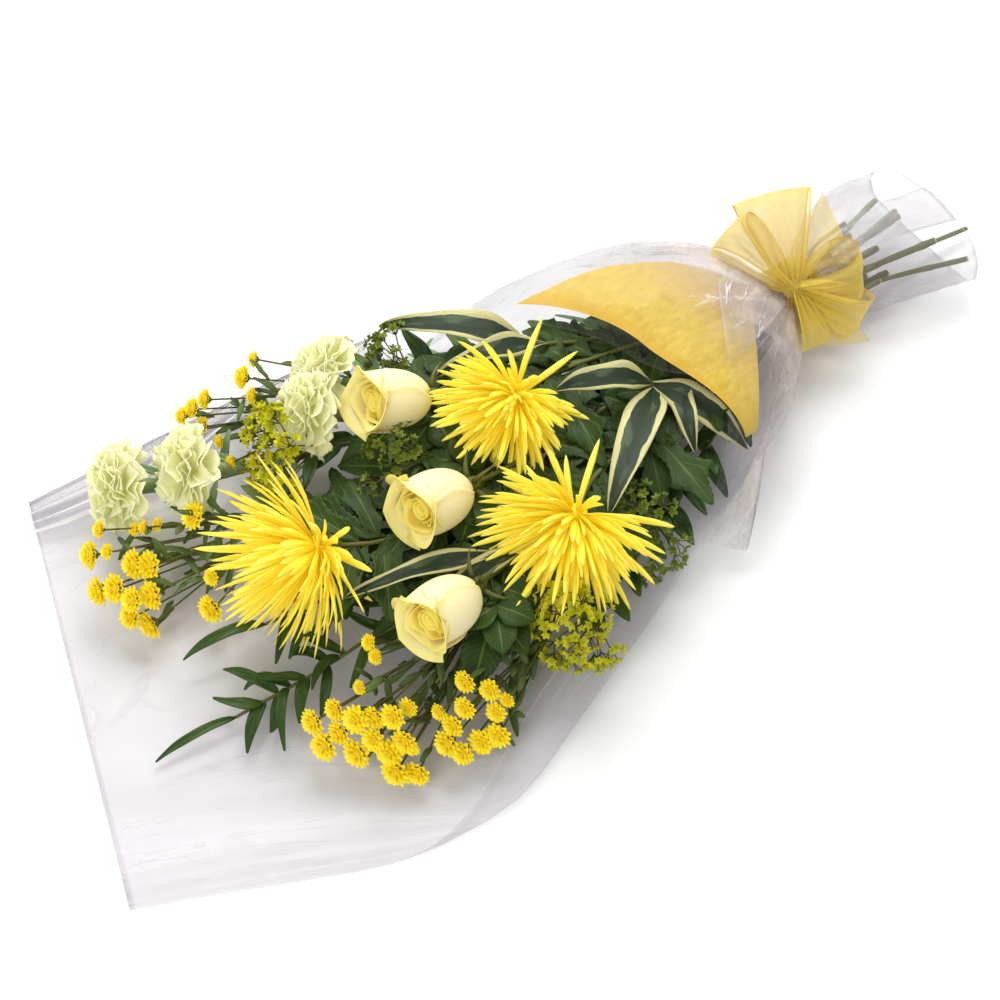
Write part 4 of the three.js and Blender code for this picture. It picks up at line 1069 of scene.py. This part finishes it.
def grow_buttons(stalks, heads, leaves, name, draw):
    """Stalks that leave the stem one after another, each with a head and a few small leaves."""
    stem = stems[name]
    for i, (x, y, z, width) in enumerate(BUTTONS[name]):
        width *= FULLNESS
        head = V((x, y, z))
        start = stem.line(mix(0.88, 0.995, (i * 0.37) % 1))
        way = ((head - start).normalized().lerp(stem.faces, 0.25) + UP * draw.uniform(0.1, 0.7)).normalized()
        line = bend(start, head - way * 0.35 * (head - start).length, head)
        under = 1 - 0.42 * width / (head - start).length
        cup = [(under, 0.7), (mix(under, 1, 0.4), 0.2 * width), (mix(under, 1, 0.85), 0.3 * width), (1, 0)]
        rod(stalks, line, [(0, 0), (0, 0.85), (0.4, 0.7), *cup], 7, draw.uniform(0, 0.6))
        stamp(heads, BUTTON_HEAD, standing(head, way, width, draw.uniform(0, 6)), draw.uniform(0.3, 0.7))
        for small in range(3):
            foot = line(draw.uniform(0.15, 0.8))
            out = (heading(line, 0.5) + V([draw.uniform(-1.1, 1.1) for _ in range(3)])).normalized()
            tip = foot + out * draw.uniform(14, 26)
            tip.z = max(tip.z, 4)
            blade(leaves, arched(foot, tip, 3), oval(draw.uniform(2.5, 4.5), 0.5), 2, 6, 0.2, draw)


# %% [markdown]
# Thorow-wax makes a loose dome of starry lime green cups. One star, with five rounded bracts round
# a cluster of beads, is made once. Every ray of the dome then carries six of them on short twigs.

# %% Thorow-wax
def star_template():
    bm = blank()
    for i in range(5):
        turn = i * FULL_TURN / 5
        out, aside = V((math.cos(turn), math.sin(turn), 0)), V((-math.sin(turn), math.cos(turn), 0))

        def place(u, v):
            side = u * 2 - 1
            half = 0.36 * math.sin(math.pi * mix(0.12, 0.93, v)) ** 0.7
            return out * mix(0.06, 1, v) + aside * side * half + UP * (0.5 * v * v + 0.16 * side**2)

        sheet(bm, 2, 4, place)
    for i in range(7):
        spot = Matrix.Translation((0.3 * math.cos(i * 0.9), 0.3 * math.sin(i * 0.9), 0.24 if i else 0.34))
        bmesh.ops.create_icosphere(bm, subdivisions=1, radius=0.14, matrix=spot, calc_uvs=True)
    return template_of(bm, "thorow_wax_star")


THOROW_STAR = star_template()
print(len(THOROW_STAR.polygons), "faces in one star")
# Two sprays are in flower. The others are younger and greener.
BRIGHT_WAX = ("thorow_wax_1", "thorow_wax_3")
WAX_REACH, WAX_TWIGS = 44, 6


def grow_thorow_wax(stalks, florets, name, draw):
    stem = stems[name]
    rays = 28 if name in BRIGHT_WAX else 15
    for i in range(rays):
        share = (i + 0.5) / rays
        tilt = math.radians(mix(6, 74, math.sqrt(share)))
        out = leaning(stem.faces, tilt, i * GOLDEN_ANGLE + draw.uniform(-0.2, 0.2))
        start = stem.line(draw.uniform(0.9, 0.995))
        fork = stem.base + out * WAX_REACH * draw.uniform(0.55, 0.85)
        ray = bend(start, start.lerp(fork, 0.5) + stem.faces * 5, fork)
        rod(stalks, ray, capped([0.8, 0.7, 0.6, 0.5]), 5)
        for twig in range(WAX_TWIGS):
            way = leaning(out, 0.8, twig * FULL_TURN / WAX_TWIGS + draw.uniform(-0.4, 0.4))
            tip = fork + way * draw.uniform(7, 11)
            tip.z = max(tip.z, 4)
            rod(stalks, bend(fork, fork.lerp(tip, 0.5), tip), capped([0.45, 0.4]), 4)
            size = draw.uniform(2.9, 4.6)
            stamp(florets, THOROW_STAR, standing(tip, way, size, draw.uniform(0, 6)), draw.uniform(0, 1))


# %% [markdown]
# The wrapper is one sheet of clear film, wound round the stems. Its cross sections are listed from
# the open mouth to the flared foot. Between them it is smooth, and it gathers into pleats where the
# ribbon draws it in.

# %% The wrapper's layout
FLOOR = 0.4
# Each row: the x of the near and the far edge, their y, the height of the underside, the height of
# the near and the far wall, the angles where the near and the far edge end, counted from below, and
# how round the section is.
SECTIONS = np.array([
    (-375, -278, -107, 208, FLOOR, 2, 12, 84, 138, 0.45),
    (-296, -240, -141, 205, FLOOR, 2.4, 14, 84, 142, 0.45),
    (-200, -176, -183, 204, FLOOR, 4, 16, 88, 140, 0.45),
    (-111, -100, -191, 200, FLOOR, 10, 19, 136, 118, 0.5),
    (-30, -30, -158, 193, FLOOR, 30, 26, 138, 98, 0.55),
    (54, 46, -127, 175, FLOOR, 54, 48, 116, 118, 0.6),
    (112, 96, -100, 150, FLOOR, 82, 80, 106, 160, 0.65),
    (166, 148, -80, 137, FLOOR, 100, 100, 142, 204, 0.7),
    (214, 206, -57, 124, FLOOR, 92, 92, 180, 206, 0.75),
    (250, 250, -30, 98, 2, 74, 76, 190, 206, 0.85),
    (272, 272, 3, 57, 6, 50, 50, 190, 206, 1),
    (281, 281, 6, 54, 7, 48, 48, 190, 206, 1),
    (295, 295, 6, 54, 7, 48, 48, 190, 206, 1),
    (306, 306, 2, 60, 5, 52, 52, 188, 200, 1),
    (336, 336, -10, 84, 1, 60, 60, 186, 198, 0.95),
    (380, 380, -20, 95, FLOOR, 62, 62, 188, 200, 0.85),
    (424, 416, -29, 90, FLOOR, 56, 56, 188, 200, 0.8),
])
# How far the far edge lies over the near one, how much the open end sags, and how far the foot's
# rim swings out.
OVERLAP, FLATTENED, SCALLOP = 2.2, 2.4, 8
HANGING_CORNER = V((131, -123, 16))


@functools.lru_cache(maxsize=4096)
def section(s):
    """The numbers of a cross section at s, a little smoothed along the wrapper."""
    rows = np.arange(len(SECTIONS))
    places = np.clip(s * rows[-1] + np.array([-0.3, 0, 0.3]), 0, rows[-1])
    return [float(np.dot([0.25, 0.5, 0.25], np.interp(places, rows, column))) for column in SECTIONS.T]


def on_section(s, angle, inset):
    """The point of a section at an angle, moved inwards by inset."""
    x0, x1, y0, y1, low, wall_near, wall_far, _, _, roundness = section(s)

    def power(c):
        return math.copysign(abs(c) ** roundness, c)

    wall = mix(wall_near, wall_far, ease(math.sin(angle), -0.5, 0.5)) - 2 * inset
    y = (y0 + y1) / 2 + ((y1 - y0) / 2 - inset) * power(math.sin(angle))
    z = low + inset + wall * (1 - power(math.cos(angle))) / 2
    return V((mix(x0, x1, (y - y0) / (y1 - y0)), y, z))


def pleated(p, angle, s):
    """Moves a point of the film in and out: pleats by the tie, and soft puckers further off."""
    off = (p.x - NECK.x) / 70
    outward = V((0, p.y - NECK.y, p.z - NECK.z)).normalized()
    pleat = math.sin(angle * 13 + 2 * noise.noise(V((s * 9, angle * 2, 3))))
    held = math.exp(-off * off) * (0.5 + 1.6 * min(abs(off), 1))
    pucker = noise.noise(V((p.x / 34, p.y / 22, p.z / 26))) * 2.4 * ease(s, 0.3, 0.6)
    pucker += noise.noise(V((p.x / 11, p.y / 8, p.z / 9))) * 1.4 * ease(s, 0.42, 0.56)
    return p + outward * (pleat * held + pucker * min(abs(off), 1))


def film_point(u, v):
    """The wrapper: u runs from its near edge, under the sheaf, to its far edge."""
    end_near, end_far = section(v)[7:9]
    angle = math.radians(mix(-end_near, end_far, u))
    wound = ease(v, 0.3, 0.42)
    p = on_section(v, angle, OVERLAP * (0.5 - (1 - u) * wound))
    p = pleated(p, angle, v)
    swell = max(noise.noise(V((p.x / 70, p.y / 45, 7))), 0) * 3 * (1 - ease(v, 0.3, 0.5))
    rolled = ease(u, 0.72, 0.8) * (1 - ease(v, 0.35, 0.5))
    swell += rolled * 1.8 * (1 + math.sin(u * 150 + 2 * noise.noise(V((v * 6, 1, 1)))))
    p.z = max(p.z - FLATTENED * (1 - ease(v, 0.3, 0.5)), FLOOR) + swell
    p.x += SCALLOP * ease(v, 0.9, 1) * math.cos(angle) ** 2
    return p


def corner_point(u, v):
    """A loose corner of the film that hangs down at the near side."""
    p = film_point(0.14, mix(0.37, 0.54, u)).lerp(HANGING_CORNER, v * 0.96)
    return p + V((0, -1, 0.4)) * 4 * math.sin(math.pi * v) * math.sin(math.pi * u * 1.5)


# %% [markdown]
# A sheet of film has no thickness that the eye can see, so it stays one layer of faces.

# %% Wrapper
def area_of(bm):
    """The area of a sheet in square metres, before it is moved to the frame."""
    return sum(face.calc_area() for face in bm.faces) / 1e6


film = blank()
sheet(film, 150, 190, film_point, 0)
sheet(film, 24, 16, corner_point, 1)
film_area = area_of(film)
wrapper = piece("wrapper_film", film, CLEAR_FILM, "film", "wrapper")
print("film", round(film_area, 4), "square metres")

# %% [markdown]
# Inside the film, a sleeve of yellow tissue covers the stems from above. It is one corner of a
# sheet: the slanting front edge and the back edge meet in a point at the near side.

# %% Sleeve
# Where the front and the back edge start and end along the wrapper, and at what angles.
SLEEVE_FRONT, SLEEVE_BACK = (0.375, 0.44), (0.56, 0.452)
SLEEVE_FROM, SLEEVE_TO, SLEEVE_INSET = (128, 180), (256, 258), (10, 6)


def sleeve_point(u, v):
    front = mix(*SLEEVE_FRONT, u) + 0.022 * math.sin(math.pi * u)
    back = mix(*SLEEVE_BACK, u) - 0.016 * math.sin(math.pi * u)
    turn = mix(mix(SLEEVE_FROM[0], SLEEVE_TO[0], u), mix(SLEEVE_FROM[1], SLEEVE_TO[1], u), v * v)
    p = on_section(mix(front, back, v), math.radians(turn), mix(*SLEEVE_INSET, v))
    ripple = noise.noise(V((p.x / 30, p.y / 16, 1))) * 1.2 * math.sin(math.pi * min(v * 1.3, 1))
    return p + V((0, p.y - NECK.y, p.z - NECK.z)).normalized() * ripple


sleeve_bm = blank()
sheet(sleeve_bm, 90, 90, sleeve_point)
sleeve_area = area_of(sleeve_bm)
sleeve = piece("sleeve", sleeve_bm, SLEEVE_CLOTH, "sleeve", "tissue")
print("sleeve", round(sleeve_area, 4), "square metres")

# %% [markdown]
# The tie is garden string, wound three times round the neck under the ribbon. It is a rod on a
# helix, and its slanting strands are drawn by the finish.

# %% Tie
TIE_RADIUS, TIE_WIDTH, TIE_TURNS = 17.6, 4.2, 3


def tie_line(t):
    turn = t * FULL_TURN * TIE_TURNS
    return NECK + V(((t - 0.5) * TIE_WIDTH, TIE_RADIUS * math.sin(turn), TIE_RADIUS * math.cos(turn)))


def string_finish():
    finish = Finish("garden_string", Roughness=0.85)
    across, along = finish.across_and_along()
    strands = (across * FULL_TURN * 3 + along * 900).sine()
    finish.bumpy(strands, 0.3)
    # Painted light and shade: each strand is paler on its crest and darker in the groove beside it.
    return finish.paint(Base_Color=finish.blend(strands * 0.5 + 0.5, tone(168, 132, 82), tone(214, 180, 124)))


tie_bm = blank()
rod(tie_bm, tie_line, capped([0.7] * 120), 8)
piece("tie_string", tie_bm, string_finish(), "tie", "tie")
print("the string goes round", TIE_TURNS, "times")

# %% [markdown]
# The ribbon is sheer, stiff organza, so a loop keeps a round, open shape and shows the loop behind
# it. Each loop leaves the knot in tight gathers, opens to its full width and comes back. The band
# that goes round the neck is the same ribbon, drawn together.

# %% Ribbon band and bow
KNOT = V((276, 20, 66))
# Each loop: its far end, its width, how thick it stands and how far it is rolled.
LOOPS = [
    ((294, 77, 106), 60, 10, 0),
    ((251, 74, 94), 46, 11, -40),
    ((328, 4, 70), 44, 15, 44),
    ((314, -20, 42), 42, 11, 30),
    ((274, -18, 36), 36, 8, -20),
]
# Each tail: its far end and its width.
TAILS = [((345, 54, 84), 30), ((300, -36, 26), 26)]


def band_point(u, v):
    turn = math.radians(mix(-176, 176, u))
    along = v * 2 - 1
    gather = 0.7 * math.sin(v * 34 + 3 * math.sin(turn * 2))
    radius = 27.4 + 1.6 * along * along + gather
    return NECK + V((along * 15, radius * math.sin(turn), -radius * math.cos(turn)))


def loop_of(end, width, depth, roll, seed):
    out = V(end) - KNOT
    aside = Matrix.Rotation(math.radians(roll), 3, out) @ SHOWN.cross(out).normalized()
    lift = out.cross(aside).normalized()

    def place(u, v):
        swell = math.sin(math.pi * v)
        side = u * 2 - 1
        half = width / 2 * (0.13 + 0.87 * abs(swell) ** 0.8)
        pleat = 3.0 * math.sin(side * 13 + seed) * (1 - swell) ** 0.7
        gather = pleat + 2.2 * math.sin(side * 4.5 + seed) * swell
        height = 3 * math.cos(math.pi * v) + depth * math.sin(FULL_TURN * v) + gather
        return KNOT + out * swell * (1 - 0.04 * side * side) - aside * side * half + lift * height

    return place


def tail_of(end, width, seed):
    out = V(end) - KNOT
    aside = SHOWN.cross(out).normalized()

    def place(u, v):
        flutter = 7 * math.sin(math.pi * v) + 1.6 * math.sin(u * 9 + seed) * (1 - 0.6 * v)
        side = (0.5 - u) * width * mix(0.35, 1, v)
        return KNOT + out * v * (1 - 0.3 * u) + aside * side + UP * flutter

    return place


band_bm = blank()
sheet(band_bm, 110, 26, band_point)
band_area = area_of(band_bm)
band = piece("ribbon_neck_band", band_bm, RIBBON_CLOTH, "ribbon", "ribbon_band")
print("band", round(band_area, 4), "square metres")

shapes = {f"bow_loop_{i + 1}": (loop_of(*row, i * 2.1), row[1]) for i, row in enumerate(LOOPS)}
shapes |= {f"bow_tail_{i + 1}": (tail_of(*row, i * 1.3), row[1]) for i, row in enumerate(TAILS)}
for name, (shape, width) in shapes.items():
    bm = blank()
    sheet(bm, 40, 80, shape)
    length = area_of(bm) / (width / 1000)
    piece(name, bm, RIBBON_CLOTH, "ribbon", "ribbon_bow")
    width / 1000
    print(name, "takes", round(length, 3), "metres of ribbon")

# %% [markdown]
# The knot is a short turn of the same ribbon, pinched over the gathers: a small barrel with puckers
# that run round it.

# %% Knot
KNOT_SIZE = 8.6


def knot_point(u, v):
    turn, along = FULL_TURN * u, v * 2 - 1
    pucker = 0.7 * math.sin(along * 14 + math.sin(turn * 2))
    radius = KNOT_SIZE * math.sqrt(max(1 - along * along * 0.82, 0)) + pucker
    return KNOT + V((along * KNOT_SIZE, radius * math.cos(turn), radius * math.sin(turn) * 0.85))


knot_bm = blank()
knot_verts = sheet(knot_bm, 32, 22, knot_point)
bmesh.ops.remove_doubles(knot_bm, verts=knot_verts, dist=0.001)
bmesh.ops.holes_fill(knot_bm, edges=[edge for edge in knot_bm.edges if edge.is_boundary])
knot = piece("bow_knot", knot_bm, RIBBON_CLOTH, "ribbon", "ribbon_bow")
print("knot", len(knot.data.polygons), "faces")

# %% [markdown]
# With every recipe written, the sheaf is put together one stem at a time. The draws of each stem
# come from its own seed, so a change to one plant leaves the others as they were.

# %% Plants
LEAF_THICKNESS = 0.4
LEAF_LOOKS = {
    "mum": (LOBED_GREEN, "leaf_green"),
    "buttons": (BUTTON_GREEN, "leaf_green"),
    "thorow_wax": (RUSCUS_GREEN, "leaf_green"),
    "rose": (ROSE_GREEN, "leaf_green"),
    "carnation": (GRASS_GREEN, "grey_green"),
    "dracaena": (STRIPED, "striped_green"),
    "ruscus": (RUSCUS_GREEN, "ruscus_green"),
}
# Each bloom: its recipe, its finish, its slot and the thickness of its petals, where they are sheets.
BLOOMS = {
    "mum": (grow_mum, MUM_GOLD, "yellow_petals", 0),
    "rose": (grow_rose, ROSE_CREAM, "cream_petals", 0.45),
    "carnation": (grow_carnation, CARNATION_PALE, "pale_green_petals", 0.35),
}
for index, name in enumerate(stems):
    draw = random.Random(index * 101 + 7)
    kind = kind_of(name)
    stem_bm = blank()
    grow_stem(stem_bm, name, draw)
    if kind == "rose":
        grow_sepals(stem_bm, name)
    leaves_bm = blank()
    for row in LEAVES:
        if row[0] == name:
            grow_leaf(leaves_bm, *row, draw)
    if kind in UNDERGROWTH:
        grow_undergrowth(leaves_bm, name, draw)
    if kind == "ruscus":
        grow_ruscus(leaves_bm, name, draw)
    if kind == "buttons":
        heads_bm = blank()
        grow_buttons(stem_bm, heads_bm, leaves_bm, name, draw)
        piece(name + "_heads", heads_bm, BUTTON_GOLD, "button_yellow", name)
    finish, slot = LEAF_LOOKS[kind]
    thicken(piece(name + "_leaves", leaves_bm, finish, slot, name), LEAF_THICKNESS)
    if kind in BLOOMS:
        grow, finish, slot, wall = BLOOMS[kind]
        bloom_bm = blank()
        grow(bloom_bm, name, draw)
        bloom = piece(name + "_petals", bloom_bm, finish, slot, name + "_bloom")
        if wall:
            thicken(bloom, wall)
    if kind == "thorow_wax":
        stars_bm = blank()
        grow_thorow_wax(stem_bm, stars_bm, name, draw)
        finish = LIME_GREEN if name in BRIGHT_WAX else WAX_GREEN
        piece(name + "_florets", stars_bm, finish, "lime_green", name)
    finish, slot = (GREY_STEM, "grey_green") if kind == "carnation" else (STEM_GREEN, "leaf_green")
    piece(name + "_stem", stem_bm, finish, slot, name)

# %% [markdown]
# The flat size of the sheets. The wrapper and the sleeve taper towards the neck, so their areas are
# measured on the mesh. The ribbon's pieces are plain lengths. Here the band's area, over a width of
# 0.034 metres, gives its length.

# %% What was cut
band_area / 0.034

# %% [markdown]
# The sheaf is shown as in a studio, on a pale plain floor. The floor is stage and no part of the
# sheaf. It lies a hair lower than the film, so that the two never share a plane.

# %% Floor
def floor_finish():
    finish = Finish("pale_floor", Roughness=0.9)
    grain = finish.cloudy(30)
    return finish.paint(Base_Color=finish.blend(grain, tone(246, 246, 246), tone(250, 250, 250)))


floor_bm = bmesh.new()
bmesh.ops.create_grid(floor_bm, x_segments=8, y_segments=8, size=6)
floor = bpy.data.objects.new("floor", template_of(floor_bm, "floor"))
floor.data.materials.append(floor_finish())
floor.location.z = -0.0005
bpy.context.collection.objects.link(floor)

# %% [markdown]
# Large lamps give soft shadows. A broad one stands high behind the sheaf, a weaker one at its near
# left, and a narrow strip at its far left draws bright lines on the film. A pale surround lights
# what they leave dark.

# %% Lights
surround = bpy.data.worlds.new("surround")
bpy.context.scene.world = surround
surround.use_nodes = True
glow = surround.node_tree.nodes["Background"].inputs
glow["Color"].default_value = (1, 1, 1, 1)
glow["Strength"].default_value = 0.62


def softbox(name, place, aim, width, height, watts):
    """A rectangular light that faces a point."""
    light = bpy.data.lights.new(name, "AREA")
    light.shape, light.size, light.size_y, light.energy = "RECTANGLE", width, height, watts
    lamp = bpy.data.objects.new(name, light)
    lamp.location = place
    lamp.rotation_euler = (V(aim) - V(place)).to_track_quat("-Z", "Y").to_euler()
    bpy.context.collection.objects.link(lamp)


softbox("key_light", (0.7, 0.9, 1.7), (0, 0, 0), 1.4, 1.1, 27)
softbox("fill_light", (-1.4, -0.6, 1.3), (0, 0, 0), 1.0, 0.8, 10)
softbox("strip_light", (0.1, 1.5, 0.9), (0, 0, 0.05), 1.4, 0.12, 10)
print(len(bpy.data.lights), "lights")

# %% [markdown]
# The camera looks down at the sheaf steeply, from its near side and a little from the left.

# %% Camera
CAMERA_PLACE, CAMERA_AIM = V((-0.53870, -0.74640, 1.46491)), V((-0.0408, -0.00824, 0.04))
CAMERA_ANGLE = math.radians(24)
camera = bpy.data.objects.new("camera", bpy.data.cameras.new("camera"))
camera.data.angle = CAMERA_ANGLE
camera.location = CAMERA_PLACE
camera.rotation_euler = (CAMERA_AIM - CAMERA_PLACE).to_track_quat("-Z", "Y").to_euler()
bpy.context.collection.objects.link(camera)
bpy.context.scene.camera = camera
bpy.context.scene.view_settings.view_transform = "Standard"
